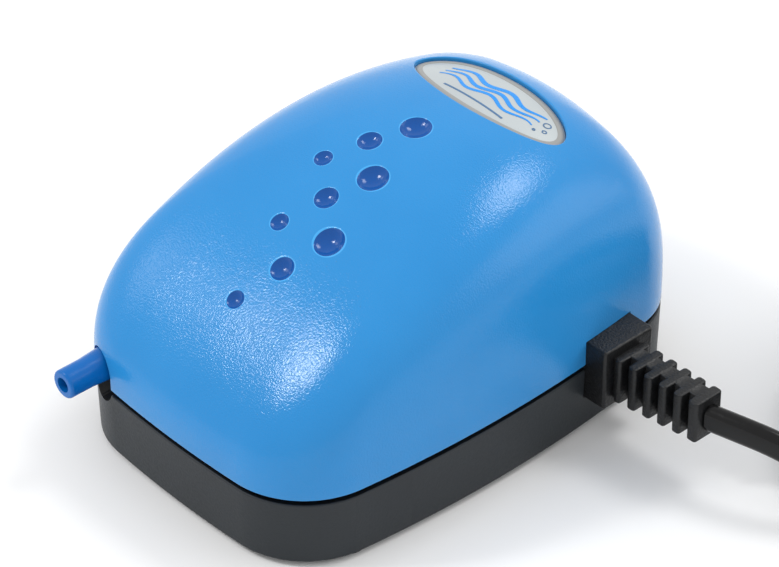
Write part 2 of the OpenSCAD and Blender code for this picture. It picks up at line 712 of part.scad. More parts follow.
// The two ears that hold a flap's bead, standing on the wall with the ports
module flap_ears(x0, x1, x, y) for (s = [-1, 1]) {
    y0 = y + s * (flap_w / 2 + 0.5);
    difference() {
        box([x0, y0 - 0.35, flap_z1 - 0.8], [x1, y0 + 0.35, flap_z1 + 0.8]);
        rod_y(y0 - 1, y0 + 1, x, flap_z1, flap_t / 2 + 0.05);
    }
}

module chamber_plate(x0, x1) difference() {
    box([x0, head_y - head_w / 2, motor_z - head_w / 2], [x1, head_y + head_w / 2, motor_z + head_w / 2]);
    head_screw_holes();
}
module chamber_gasket() color([0.15, 0.15, 0.16]) difference() {
    chamber_plate(head_back - 0.8, head_back);
    for (s = [-1, 1]) box([head_back - 2, head_y + (s < 0 ? -11 : 1.8), motor_z - 7.4],
        [head_back + 1, head_y + (s < 0 ? -1.8 : 11), motor_z + 7.4]);
}
module chamber_cover() color(nylon) chamber_plate(head_back - 3.3, head_back - 0.8);

module chamber_screws() color(steel) for (y = [-1, 1], z = [-1, 1])
    translate([clamp_x[1], head_y + y * head_screw, motor_z + z * head_screw])
        rotate([0, -90, 0]) screw(head_screw_r, 2.4, 1.6, 19.4);

module pump_screws() color(steel) for (y = ear_y)
    translate([ear_x, y, ear_z + 3]) mirror([0, 0, 1]) screw(1.25, 2.5, 1.6, 8);

// ---- lead ----

function between(range, f) = range[0] + (range[1] - range[0]) * f;

module strain_relief() color(black) {
    box([plate_x[1], flange_y - flange_w / 2, flange_z - flange_h / 2],
        [flange_x, flange_y + flange_w / 2, flange_z + flange_h / 2]);
    box([plate_x[0], flange_y - plate_w / 2, flange_z - plate_h / 2],
        [plate_x[1] + tiny, flange_y + plate_w / 2, flange_z + plate_h / 2]);
    box([flange_x - 1, rib_y[0] - neck_w / 2, flange_z - neck_h / 2],
        [rib_x + 0.6, rib_y[0] + neck_w / 2, flange_z + neck_h / 2]);
    for (i = [0 : rib_n - 1]) {
        f = i / (rib_n - 1);
        x = rib_x + i * rib_pitch;
        t = rib_t + (i == rib_n - 1 ? last_rib_more : 0);
        w = between(rib_w, f);
        h = between(rib_h, f);
        y = between(rib_y, f);
        box([x, y - w / 2, flange_z - h / 2], [x + t, y + w / 2, flange_z + h / 2]);
        if (i > 0) box([x - rib_pitch + 1, y + web_shift - web_w / 2, flange_z - h / 2],
            [x + 0.5, y + web_shift + web_w / 2, flange_z + h / 2]);
    }
}

module power_cord() color(cord_black) sweep(cord_route, cord_w, cord_t, 12);
module cord_tail() color(cord_black) sweep(tail_route, cord_w, cord_t, 12);
module cord_coil() color(cord_black) translate(coil_mid) rotate_extrude()
    translate([coil_rings[0], 0]) square([coil_rings[1] - coil_rings[0], coil_h]);

module cord_tie() color([0.2, 0.2, 0.21]) translate(coil_mid) rotate(tie_angle) difference() {
    box([coil_rings[0] - tie_t, -tie_w / 2, 0], [coil_rings[1] + tie_t, tie_w / 2, coil_h + tie_t]);
    box([coil_rings[0], -tie_w, tie_t], [coil_rings[1], tie_w, coil_h]);
}

module power_plug() color(black) translate([plug_x, plug_y, plug_z]) {
    y1 = boot_l + plug_l;
    translate([0, 0, -plug_t / 2]) linear_extrude(plug_t) polygon([[-plug_nose, boot_l],
        [-plug_nose, boot_l + 2], [-plug_w / 2, boot_l + plug_flare_y], [-plug_w / 2, y1],
        [plug_w / 2, y1], [plug_w / 2, boot_l + plug_flare_y], [plug_nose, boot_l + 2],
        [plug_nose, boot_l]]);
    rotate([-90, 0, 0]) cylinder(r1=boot_r[0], r2=boot_r[1], h=boot_l + 1);
}

module plug_pins() color([0.8, 0.81, 0.83]) for (s = [-1, 1])
    rod_y(plug_y + boot_l + plug_l, plug_y + boot_l + plug_l + pin_l, plug_x + s * pin_pitch / 2,
        plug_z, pin_r);

placed() {
    top_cover();
    base_tray();
    badge();
    foot_front_left();
    foot_front_right();
    foot_rear_left();
    foot_rear_right();
    housing_screws();
    air_filter();
    filter_cover();
    outlet_nozzle();
    outlet_tube();
    core_laminations();
    core_screws();
    coil_bobbin();
    coil_winding();
    winding_tape();
    lead_live();
    lead_neutral();
    splice_sleeves();
    vibrating_arm();
    magnet_backplate();
    magnet_left();
    magnet_right();
    pivot_bush();
    pivot_cap();
    pivot_screws();
    diaphragm();
    diaphragm_clamp();
    diaphragm_plate();
    diaphragm_washer();
    diaphragm_screw();
    valve_body();
    inlet_valve();
    outlet_valve();
    chamber_gasket();
    chamber_cover();
    chamber_screws();
    pump_screws();
    strain_relief();
    power_cord();
    cord_coil();
    cord_tail();
    cord_tie();
    power_plug();
    plug_pins();
}
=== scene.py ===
"""Looks of a one-outlet aquarium air pump: blue domed cover on a dark tray, with its flat mains lead.

Shapes are worked out in millimetres about the middle of the body, as the CAD model has them,
and become metres in the row frame when a mesh is made.
"""

import json
import math

import bmesh
import bpy
import numpy as np
from mathutils import Matrix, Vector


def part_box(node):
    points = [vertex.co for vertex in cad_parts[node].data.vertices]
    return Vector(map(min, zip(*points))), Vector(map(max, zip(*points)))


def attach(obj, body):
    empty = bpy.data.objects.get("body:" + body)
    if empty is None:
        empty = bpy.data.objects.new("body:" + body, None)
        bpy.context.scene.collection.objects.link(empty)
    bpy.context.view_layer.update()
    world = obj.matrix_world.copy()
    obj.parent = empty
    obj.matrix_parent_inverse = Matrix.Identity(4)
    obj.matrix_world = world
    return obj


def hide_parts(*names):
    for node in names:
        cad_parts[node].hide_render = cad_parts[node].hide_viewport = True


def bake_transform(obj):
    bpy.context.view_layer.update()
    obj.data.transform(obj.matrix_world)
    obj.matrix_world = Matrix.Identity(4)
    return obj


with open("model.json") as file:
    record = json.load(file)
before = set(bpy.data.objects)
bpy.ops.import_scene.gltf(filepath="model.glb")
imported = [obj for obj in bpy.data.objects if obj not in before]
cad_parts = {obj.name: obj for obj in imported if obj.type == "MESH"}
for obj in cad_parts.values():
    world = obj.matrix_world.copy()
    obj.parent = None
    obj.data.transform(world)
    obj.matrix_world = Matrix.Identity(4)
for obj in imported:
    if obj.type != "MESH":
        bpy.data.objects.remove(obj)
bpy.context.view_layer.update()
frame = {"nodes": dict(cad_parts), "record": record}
MM = 0.001
NODES = frame["nodes"]


# ---- sizes from the frame ----

def node_box(node):
    """Lowest and highest corner of a CAD node in millimetres about the middle of the body."""
    low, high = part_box(node)
    shift = np.array([0, BODY_Y, 0])
    return np.array(low) / MM - shift, np.array(high) / MM - shift


tray_low, tray_high = (np.array(c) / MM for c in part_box("base_tray"))
BODY_L = tray_high[1] - tray_low[1]
BODY_W = tray_high[0] - tray_low[0]
BODY_Y = (tray_high[1] + tray_low[1]) / 2
FOOT_DROP = tray_low[2]
TRAY_TOP = 14.0  # height of the tray's edge
EDGE_Z = 15.0  # height of the cover's lower edge
WALL = 2.2  # thickness of the housing's walls


# ---- mesh helpers ----

def unit(a):
    """Unit vector of the plan at an angle."""
    return np.array([math.cos(a), math.sin(a)])


def unit_rows(vectors):
    return vectors / np.linalg.norm(vectors, axis=1)[:, None]


def quarter_round(radius, count):
    """Points of a quarter circle, as [how far in, how far along], from [radius, 0] to [0, radius]."""
    turn = np.linspace(0, math.pi / 2, count)
    return [(radius * (1 - math.sin(a)), radius * (1 - math.cos(a))) for a in turn]


def at_height(xy, z):
    """Plan points at one height, or at a height for each."""
    return np.column_stack([xy, np.full(len(xy), z)])


def in_frame(points):
    """Points in millimetres about the middle of the body, as metres in the row frame."""
    return (np.asarray(points, float) + [0, BODY_Y, 0]) * MM


def mesh_points(mesh):
    """The mesh's points in millimetres about the middle of the body."""
    return np.array([v.co for v in mesh.vertices]) / MM - [0, BODY_Y, 0]


def new_object(name, data):
    made = bpy.data.objects.new(name, data)
    bpy.context.scene.collection.objects.link(made)
    return made


def solid(name, points, faces):
    """A closed mesh with its faces turned outwards, from points in millimetres."""
    mesh = bpy.data.meshes.new(name)
    mesh.from_pydata([tuple(p) for p in in_frame(points)], [], [tuple(map(int, f)) for f in faces])
    mesh.validate()
    work = bmesh.new()
    work.from_mesh(mesh)
    bmesh.ops.remove_doubles(work, verts=work.verts, dist=1e-7)
    bmesh.ops.recalc_face_normals(work, faces=work.faces)
    work.to_mesh(mesh)
    work.free()
    return new_object(name, mesh)


def apply_modifiers(piece):
    """Replaces the piece's mesh with what its modifiers make of it."""
    graph = bpy.context.evaluated_depsgraph_get()
    made = bpy.data.meshes.new_from_object(piece.evaluated_get(graph), depsgraph=graph)
    made.name = piece.name
    piece.modifiers.clear()
    piece.data = made
    return piece


def combine(piece, others, operation):
    """Joins others to the piece, cuts them out of it or keeps what they share. The others are removed."""
    for other in others:
        step = piece.modifiers.new("combine", "BOOLEAN")
        step.operation = operation
        step.solver = "EXACT"
        step.object = other
        apply_modifiers(piece)
        bpy.data.objects.remove(other)
    return piece


def soften(piece, width, segments, angle):
    """Rounds the piece's sharp edges."""
    step = piece.modifiers.new("soften", "BEVEL")
    step.width = width * MM
    step.segments = segments
    step.limit_method = "ANGLE"
    step.angle_limit = math.radians(angle)
    return apply_modifiers(piece)


def shade(piece, angle=38.0):
    """Smooth shading with the edges above an angle kept sharp."""
    piece.data.polygons.foreach_set("use_smooth", [True] * len(piece.data.polygons))
    piece.data.set_sharp_from_angle(angle=math.radians(angle))
    piece.data.update()
    return piece


def finish_piece(piece, material, angle=38.0):
    """Gives a piece that stays with the housing its material and smooth shading."""
    piece.data.materials.clear()
    piece.data.materials.append(MATERIALS[material])
    shade(piece, angle)
    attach(piece, "housing")
    return piece


def ring_faces(first, second, count):
    """Quads between two rings of points, given by the index of each ring's first point."""
    return [(first + k, first + (k + 1) % count, second + (k + 1) % count, second + k) for k in range(count)]


def wall_faces(rings):
    """Quads between each two neighbours of rings that all have the same number of points."""
    count = len(rings[0])
    faces = []
    for i in range(len(rings) - 1):
        faces += ring_faces(i * count, (i + 1) * count, count)
    return faces


def loft(name, rings, capped=True):
    """A solid through rings of equal length, capped at both ends unless the last ring is the first again."""
    count = len(rings[0])
    faces = wall_faces(rings)
    if capped:
        faces.append(tuple(range(count - 1, -1, -1)))
        faces.append(tuple(range((len(rings) - 1) * count, len(rings) * count)))
    return solid(name, np.concatenate(rings), faces)


def box_solid(name, low, high):
    (x0, y0, z0), (x1, y1, z1) = low, high
    plan = np.array([[x0, y0], [x1, y0], [x1, y1], [x0, y1]])
    return loft(name, [at_height(plan, z) for z in (z0, z1)])


def round_rectangle(half, corner, inset=0.0, steps=4):
    """Points round a rectangle about [0, 0] with round corners, all moved in by a distance."""
    ring = []
    for k, sign in enumerate([(1, 1), (-1, 1), (-1, -1), (1, -1)]):
        for a in np.linspace(0, math.pi / 2, steps + 1) + k * math.pi / 2:
            ring.append(np.array(sign) * (half - corner) + (corner - inset) * unit(a))
    return np.array(ring)


def pebble(name, low, high, corner, edge):
    """A box with round upright corners, and softer edges above and below."""
    low, high = np.asarray(low, float), np.asarray(high, float)
    levels = [(inset, low[2] + up) for inset, up in quarter_round(edge, 5)]
    levels += [(inset, low[2] + high[2] - z) for inset, z in reversed(levels)]
    middle, half = (low[:2] + high[:2]) / 2, (high[:2] - low[:2]) / 2
    return loft(name, [at_height(middle + round_rectangle(half, corner, inset), z) for inset, z in levels])


def lathe(profile, start, axis, sides=64):
    """Rings of a profile of [distance along the axis, radius] about an axis through start."""
    start, axis = np.asarray(start, float), np.asarray(axis, float)
    helper = np.array([0, 0, 1.0]) if abs(axis[2]) < 0.9 else np.array([1.0, 0, 0])
    u = np.cross(axis, helper)
    u /= np.linalg.norm(u)
    v = np.cross(axis, u)
    turn = np.linspace(0, 2 * math.pi, sides, endpoint=False)
    circle = np.cos(turn)[:, None] * u + np.sin(turn)[:, None] * v
    return [start + axis * along + circle * radius for along, radius in profile]


def round_profile(profile, radius, steps=5):
    """Rounds a profile's corners between its two ends by a radius, or less where a stretch is short."""
    most = 0.45  # of a stretch
    points = [np.array(p, float) for p in profile]
    out = [points[0]]
    for before, at, after in zip(points, points[1:], points[2:]):
        a, b = before - at, after - at
        la, lb = np.linalg.norm(a), np.linalg.norm(b)
        cut = min(radius, la * most, lb * most)
        p, q = at + a / la * cut, at + b / lb * cut
        for t in np.linspace(0, 1, steps):
            out.append((1 - t) ** 2 * p + 2 * t * (1 - t) * at + t * t * q)
    out.append(points[-1])
    return out


# ---- outline and dome of the housing ----

# The plan is five arcs on each side: front, front corner, side, rear corner and rear.
# Over it the height falls from the peak to the edge along a superellipse, in every direction.
FRONT_R, REAR_R, SIDE_R = 248.0, 134.0, 272.0
FRONT_CORNER_R, REAR_CORNER_R = 17.0, 14.4
FRONT_MID = np.array([0, FRONT_R - BODY_L / 2])
REAR_MID = np.array([0, BODY_L / 2 - REAR_R])
SIDE_MID = np.array([BODY_W / 2 - SIDE_R, 0])
PEAK = np.array([0, 27.3])
CROWN_MID = 52.9
SIDE_POWER, FRONT_POWER = 3.5, 3.85
OUTLINE_STEP = 0.6


def meet(c1, r1, c2, r2, sign):
    """Meeting point of two circles, on the side that sign picks."""
    d = np.linalg.norm(c2 - c1)
    a = (r1 * r1 - r2 * r2 + d * d) / (2 * d)
    u = (c2 - c1) / d
    return c1 + a * u + sign * math.sqrt(r1 * r1 - a * a) * np.array([-u[1], u[0]])


def heading(v):
    return math.atan2(v[1], v[0])


FRONT_CORNER = meet(FRONT_MID, FRONT_R - FRONT_CORNER_R, SIDE_MID, SIDE_R - FRONT_CORNER_R, 1)
REAR_CORNER = meet(REAR_MID, REAR_R - REAR_CORNER_R, SIDE_MID, SIDE_R - REAR_CORNER_R, -1)
A_FRONT = heading(FRONT_CORNER - FRONT_MID)
A_SIDE_0 = heading(FRONT_CORNER - SIDE_MID)
A_SIDE_1 = heading(REAR_CORNER - SIDE_MID)
A_REAR = heading(REAR_CORNER - REAR_MID)
ARCS = [
    (FRONT_MID, FRONT_R, -math.pi / 2, A_FRONT),
    (FRONT_CORNER, FRONT_CORNER_R, A_FRONT, A_SIDE_0),
    (SIDE_MID, SIDE_R, A_SIDE_0, A_SIDE_1),
    (REAR_CORNER, REAR_CORNER_R, A_SIDE_1, A_REAR),
    (REAR_MID, REAR_R, A_REAR, math.pi / 2),
]


def outline(inset):
    """Points round the plan outline moved in by a distance, from the middle of the front, anticlockwise."""
    half = []
    for centre, radius, a0, a1 in ARCS:
        steps = max(4, round(radius * (a1 - a0) / OUTLINE_STEP))
        for a in np.linspace(a0, a1, steps, endpoint=False):
            half.append(centre + (radius - inset) * unit(a))
    half = np.array(half)
    top = np.array([[0, BODY_L / 2 - inset]])
    return np.concatenate([half, top, half[:0:-1] * [-1, 1]])


def sectors(bearing):
    """Each arc's centre, its radius, and which of the bearings from the peak, with x from 0 up, meet it."""
    ends = [centre + radius * unit(a1) for centre, radius, _, a1 in ARCS]
    limits = [-math.inf, *(heading(end - PEAK) for end in ends[:-1]), math.inf]
    for (centre, radius, _, _), lower, upper in zip(ARCS, limits, limits[1:]):
        yield centre, radius, (bearing >= lower) & (bearing < upper)


def reach(direction):
    """Distance from the peak to the outline in each direction, given as unit vectors with x from 0 up."""
    bearing = np.arctan2(direction[:, 1], direction[:, 0])
    best = np.zeros(len(direction))
    for centre, radius, here in sectors(bearing):
        p = PEAK - centre
        b = (direction @ p)[here]
        best[here] = -b + np.sqrt(b * b - p @ p + radius * radius)
    return best


def edge_depth(points):
    """How far points lie inside the outline, measured towards the peak."""
    offset = np.column_stack([np.abs(points[:, 0]), points[:, 1] - PEAK[1]])
    far = np.maximum(np.linalg.norm(offset, axis=1), 1e-6)
    return reach(offset / far[:, None]) - far


def side_normals(points):
    """Level normals of the outline beside points near it."""
    offset = np.column_stack([np.abs(points[:, 0]), points[:, 1]])
    bearing = np.arctan2(offset[:, 1] - PEAK[1], offset[:, 0])
    normals = np.zeros((len(points), 3))
    for centre, _, here in sectors(bearing):
        normals[here, :2] = unit_rows(offset[here] - centre)
    normals[:, 0] *= np.where(points[:, 0] < 0, -1, 1)
    return normals


def power(x, y):
    """Exponent of the superellipse, which is higher towards the front."""
    slant = np.minimum(np.arctan2(y - PEAK[1], np.abs(x)) / (math.pi / 2), 0)
    return SIDE_POWER + (FRONT_POWER - SIDE_POWER) * slant * slant


def crown(x, y):
    """Height that the dome would have over points of the plan if it didn't fall towards the edge."""
    u, v = x / BODY_L, y / BODY_L
    return (CROWN_MID + 19.6 * v - 57.2 * v ** 2 - 14.1 * v ** 3
            - 24.7 * u ** 2 - 85 * u * u * v + 246 * u ** 4)


def dome_z(x, y):
    """Height of the cover's outside over points of the plan."""
    x, y = np.atleast_1d(np.asarray(x, float)), np.atleast_1d(np.asarray(y, float))
    offset = np.stack([np.abs(x), y - PEAK[1]], 1)
    far = np.linalg.norm(offset, axis=1)
    direction = offset / np.maximum(far, 1e-9)[:, None]
    s = np.clip(far / reach(direction), 0, 1)
    m = power(x, y)
    return EDGE_Z + (crown(x, y) - EDGE_Z) * (1 - s ** m) ** (1 / m)


def dome_normal(x, y):
    """Normals of the dome, from its slopes over a step to each side."""
    h = 0.05
    dx = (dome_z(x + h, y) - dome_z(x - h, y)) / (2 * h)
    dy = (dome_z(x, y + h) - dome_z(x, y - h)) / (2 * h)
    return unit_rows(np.stack([-dx, -dy, np.ones_like(dx)], 1))


# ---- materials ----

NOISE_SPAN = (0.3, 0.7)  # nearly all of a noise texture's values are between these


def feed(tree, node, inputs):
    """Sets a node's inputs, each to a value or to another node's output."""
    for name, value in inputs.items():
        if isinstance(value, bpy.types.NodeSocket):
            tree.links.new(value, node.inputs[name])
        else:
            node.inputs[name].default_value = value


def add_node(tree, kind, inputs, **settings):
    node = tree.nodes.new("ShaderNode" + kind)
    for name, value in settings.items():
        setattr(node, name, value)
    feed(tree, node, inputs)
    return node


def new_material(name):
    """A material, its tree, its shader and the object's coordinates."""
    material = bpy.data.materials.new(name)
    material.use_nodes = True
    tree = material.node_tree
    return material, tree, tree.nodes["Principled BSDF"], add_node(tree, "TexCoord", {}).outputs["Object"]


def noise(tree, scale, detail, roughness, at):
    inputs = {"Scale": scale, "Detail": detail, "Roughness": roughness, "Vector": at}
    return add_node(tree, "TexNoise", inputs).outputs["Fac"]


def remap(tree, value, low=0, high=1, span=NOISE_SPAN):
    """Maps a value from its span to low..high, clamped."""
    inputs = {"From Min": span[0], "From Max": span[1], "To Min": low, "To Max": high, "Value": value}
    return add_node(tree, "MapRange", inputs).outputs["Result"]


def mix_colours(tree, factor, first, second):
    inputs = {"Factor": factor, "A": first, "B": second}
    return add_node(tree, "Mix", inputs, data_type="RGBA").outputs["Result"]


def bump(tree, height, distance):
    return add_node(tree, "Bump", {"Distance": distance, "Height": height}).outputs["Normal"]


def mask(tree, name):
    return add_node(tree, "Attribute", {}, attribute_name=name).outputs["Fac"]


def stretched(tree, at, scale):
    return add_node(tree, "Mapping", {"Scale": scale, "Vector": at}).outputs["Vector"]


def bands(tree, at, direction, scale, distortion):
    """Parallel bands across one axis."""
    inputs = {"Scale": scale, "Distortion": distortion, "Vector": at}
    return add_node(tree, "TexWave", inputs, wave_type="BANDS", bands_direction=direction).outputs["Fac"]


def srgb(*channels):
    """A colour from 0..255 display values, as linear values."""
    linear = ((c / 255 / 12.92) if c <= 10 else ((c / 255 + 0.055) / 1.055) ** 2.4 for c in channels)
    return (*linear, 1)


def two_tones(tree, at, scale, detail, roughness, first, second):
    """A colour that wanders between two near tones, given as display values."""
    tone = remap(tree, noise(tree, scale, detail, roughness, at))
    return mix_colours(tree, tone, srgb(*first), srgb(*second))


def moulded(name, first, second, roughness, grain, depth, specular=0.5):
    """Moulded plastic: two near tones, a fine grain of a size in metres and its depth, uneven gloss."""
    material, tree, shader, at = new_material(name)
    fine = noise(tree, 1 / grain, 2.5, 0.55, at)
    feed(tree, shader, {
        "Base Color": two_tones(tree, at, 22, 3, 0.6, first, second),
        "Roughness": remap(tree, fine, roughness - 0.05, roughness + 0.07),
        "Specular IOR Level": specular,
        "Normal": bump(tree, fine, depth)})
    return material


def cover_material():
    """Sky-blue plastic with spark-eroded grain: polished in the dimples, where a deeper blue is partly
    painted shade, and a paler blue on their rims that is a painted highlight.
    """
    material, tree, shader, at = new_material("cover_blue")
    polish_and_shade = mask(tree, "polish_and_shade")
    body = two_tones(tree, at, 30, 3, 0.6, (40, 137, 204), (33, 131, 198))
    # painted highlight: the dimples' rounded rims are painted a paler blue
    body = mix_colours(tree, mask(tree, "rim"), body, srgb(66, 162, 226))
    grain = noise(tree, 2900, 1.0, 0.5, at)
    height = add_node(tree, "Math", {0: grain, 1: remap(tree, polish_and_shade, 1, 0.35, (0, 1))}, operation="MULTIPLY")
    feed(tree, shader, {
        # In the dimples the colour is a darker blue, partly painted shade of the recesses; their real polish
        # is in the roughness and grain.
        "Base Color": mix_colours(tree, polish_and_shade, body, srgb(0, 80, 158)),
        "Roughness": remap(tree, grain, 0.10, 0.17),
        "Specular IOR Level": 0.34,
        "Sheen Weight": 0.1,
        "Sheen Roughness": 0.4,
        "Normal": bump(tree, height.outputs[0], 0.000048)})
    return material


def metal(name, colour, roughness, grain, depth, stretch=(1, 1, 1)):
    material, tree, shader, at = new_material(name)
    texture = noise(tree, 1 / grain, 3, 0.6, stretched(tree, at, stretch))
    light = srgb(*colour)
    dark = (*(c * 0.82 for c in light[:3]), 1)
    feed(tree, shader, {
        "Base Color": mix_colours(tree, texture, dark, light),
        "Roughness": remap(tree, texture, roughness - 0.06, roughness + 0.08),
        "Metallic": 1.0,
        "Normal": bump(tree, texture, depth)})
    return material


def badge_material():
    """Silver paint with a fine brushed grain."""
    material, tree, shader, at = new_material("badge_metal")
    brushed = noise(tree, 400, 2, 0.5, stretched(tree, at, (1, 30, 1)))
    feed(tree, shader, {
        "Base Color": two_tones(tree, at, 60, 2, 0.5, (192, 199, 201), (184, 191, 194)),
        "Roughness": remap(tree, brushed, 0.24, 0.36, (0, 1)),
        "Metallic": 0.3,
        "Normal": bump(tree, brushed, 0.000006)})
    return material


def laminated():
    """Steel sheets stacked along Z, about a millimetre each, with a bloom of rust."""
    material, tree, shader, at = new_material("core_steel")
    sheets = bands(tree, at, "Z", 1000 / math.pi, 0.4)
    rust = remap(tree, noise(tree, 200, 4, 0.6, at), 0, 1, (0.45, 0.75))
    steel = mix_colours(tree, sheets, srgb(104, 106, 110), srgb(150, 152, 156))
    feed(tree, shader, {
        "Base Color": mix_colours(tree, rust, steel, srgb(120, 104, 92)),
        "Roughness": 0.45,
        "Metallic": 0.8,
        "Normal": bump(tree, sheets, 0.00005)})
    return material


def wound_wire():
    """Enamelled copper wire wound about Y, in turns half a millimetre apart."""
    material, tree, shader, at = new_material("copper_wire")
    turns = bands(tree, at, "Y", 600, 0.8)
    feed(tree, shader, {
        "Base Color": mix_colours(tree, turns, srgb(110, 52, 26), srgb(196, 112, 62)),
        "Roughness": 0.3,
        "Metallic": 0.9,
        "Normal": bump(tree, turns, 0.00008)})
    return material


# Two near tones as display values, roughness, size and depth of the grain in metres, specular level
MOULDED = {
    "tray_grey": ((43, 48, 52), (38, 42, 46), 0.42, 0.00045, 0.00003, 0.26),
    # painted shade: a near-black copy of the tray for its inner faces and the groove under the cover, where
    # shade falls
    "tray_painted_shade": ((13, 14, 15), (10, 11, 12), 0.6, 0.00045, 0.00003, 0.2),
    "nozzle_blue": ((4, 102, 180), (3, 95, 172), 0.2, 0.0009, 0.00001, 0.28),
    "foot_rubber": ((32, 32, 34), (26, 26, 28), 0.75, 0.0005, 0.00004),
    "relief_black": ((21, 22, 24), (16, 17, 18), 0.36, 0.00045, 0.00013, 0.38),
    "cord_black": ((12, 12, 13), (9, 9, 10), 0.2, 0.0012, 0.000012, 0.28),
    "plug_black": ((26, 26, 28), (21, 21, 23), 0.45, 0.0004, 0.00003),
    "ivory_plastic": ((228, 224, 208), (220, 214, 196), 0.4, 0.0006, 0.00002),
    "clear_silicone": ((214, 218, 214), (204, 210, 206), 0.3, 0.001, 0.00001),
    "tape": ((214, 180, 60), (204, 168, 50), 0.25, 0.0008, 0.00001),
    "brown_sleeve": ((104, 62, 38), (96, 56, 34), 0.35, 0.0008, 0.00001),
    "blue_sleeve": ((44, 88, 180), (38, 80, 170), 0.35, 0.0008, 0.00001),
    "magnet": ((58, 58, 60), (50, 50, 52), 0.6, 0.0003, 0.00004),
    "valve_rubber": ((178, 74, 54), (168, 66, 48), 0.55, 0.0005, 0.00002),
    "filter_felt": ((232, 230, 220), (206, 202, 190), 0.95, 0.0003, 0.0002),
    "badge_border": ((150, 151, 149), (142, 143, 141), 0.4, 0.0005, 0.00001),
    "print_blue": ((0, 140, 226), (0, 132, 218), 0.3, 0.0006, 0.000004),
    "print_slate": ((70, 110, 150), (64, 102, 142), 0.3, 0.0006, 0.000004),
}
MATERIALS = {
    "cover_blue": cover_material(),
    "badge_metal": badge_material(),
    "steel": metal("steel", (196, 197, 200), 0.28, 0.0004, 0.00001),
    "nickel": metal("nickel", (214, 208, 196), 0.16, 0.0006, 0.000004, (1, 0.1, 1)),
    "core_steel": laminated(),
    "copper_wire": wound_wire(),
}
for name, looks in MOULDED.items():
    MATERIALS[name] = moulded(name, *looks)


# ---- cover ----

BADGE_MID = np.array([0, 26.4])
BADGE_A, BADGE_B = 17.8, 7.5  # half its length and half its width
BADGE_SINK = 0.9  # from the dome down to its face
BADGE_T = 0.5
RECESS_GAP = 0.15
RECESS_ROUND = 0.35
COVER_ROUND = 0.45
DOME_RINGS = 100
INNER_RINGS = 26
INNER_END = 1.5
DIMPLE_MID = np.array([0, -12.4])
DIMPLE_ALONG = np.array([-3.8, -7.5])
DIMPLE_ACROSS = np.array([3.4, -13.2])
DIMPLE_D = {-1: 5.8, 0: 4.6, 1: 3.55}  # diameters along a row
DIMPLE_DEPTH = 0.24  # share of the diameter
DIMPLE_RIM = 0.34  # radius of its rounded rim
DOME_BEND = 65.0  # radius of the dome where the dimples are
SLOT_R = 4.0
SLOT_Z = (14.9, 17.4)
NEAR = 0.01  # points closer than this to a surface are on it


def ellipse_reach(direction, grow):
    """Distance from the peak to the badge's outline, grown by a distance, in each direction."""
    scale = np.array([1 / (BADGE_A + grow), 1 / (BADGE_B + grow)])
    p = (PEAK - BADGE_MID) * scale
    d = direction * scale
    a, b, c = (d * d).sum(1), d @ p, p @ p - 1
    return (-b + np.sqrt(b * b - a * c)) / a


def outline_directions():
    """Unit vectors from the peak to each point of the outline."""
    return unit_rows(outline(0) - PEAK)


def dome_rings(inset, drop, count, end):
    """Rings from the edge up to a distance from the peak, one distance for each point of the outline.

    They are moved in from the outline by inset, and down from the crown by drop.
    """
    edge = outline(inset)
    offset = edge - PEAK
    far = np.linalg.norm(offset, axis=1)
    m = power(edge[:, 0], edge[:, 1])
    rings = []
    for i in range(1, count + 1):
        s = 1 - (1 - end / far) * (i / count) ** 2
        lift = (1 - s ** m) ** (1 / m)
        xy = PEAK + offset * s[:, None]
        z = EDGE_Z + (crown(xy[:, 0], xy[:, 1]) - drop - EDGE_Z) * lift
        rings.append(at_height(xy, z))
    return rings


def edge_fillet():
    """The rounded lower edge of the cover, from its underside out to its side."""
    return [at_height(outline(inset), EDGE_Z + up) for inset, up in quarter_round(COVER_ROUND, 5)]


def recess_rings():
    """The badge's recess: a rounded edge, the wall and the floor."""
    direction = outline_directions()
    depth = BADGE_SINK + BADGE_T
    steps = quarter_round(RECESS_ROUND, 6)[1:] + [(0, depth * 0.6), (0, depth)]
    rings = []
    for grow, down in steps:
        xy = PEAK + direction * ellipse_reach(direction, RECESS_GAP + grow)[:, None]
        rings.append(at_height(xy, dome_z(*xy.T) - down))
    for share in (0.7, 0.35):  # of the way from the peak to the wall
        xy = PEAK + direction * (ellipse_reach(direction, RECESS_GAP) * share)[:, None]
        rings.append(at_height(xy, dome_z(*xy.T) - depth))
    return rings


def dimple_places():
    """Each dimple's centre, the dome's normal there, and the dimple's radius."""
    places = []
    for i in (-1, 0, 1):
        for j in (-1, 0, 1):
            xy = DIMPLE_MID + i * DIMPLE_ACROSS + j * DIMPLE_ALONG
            normal, radius = dome_normal(xy[:1], xy[1:])[0], DIMPLE_D[j] / 2
            on_dome = np.array([xy[0], xy[1], dome_z(xy[0], xy[1])[0]])
            places.append((on_dome - normal * radius ** 2 / (2 * DOME_BEND), normal, radius))
    return places


def dimple_ball(radius):
    """Radius of a dimple's ball, and the height of the ball's centre above the dome."""
    deep = DIMPLE_DEPTH * 2 * radius
    ball = (radius ** 2 + deep ** 2) / (2 * deep)
    return ball, ball - deep


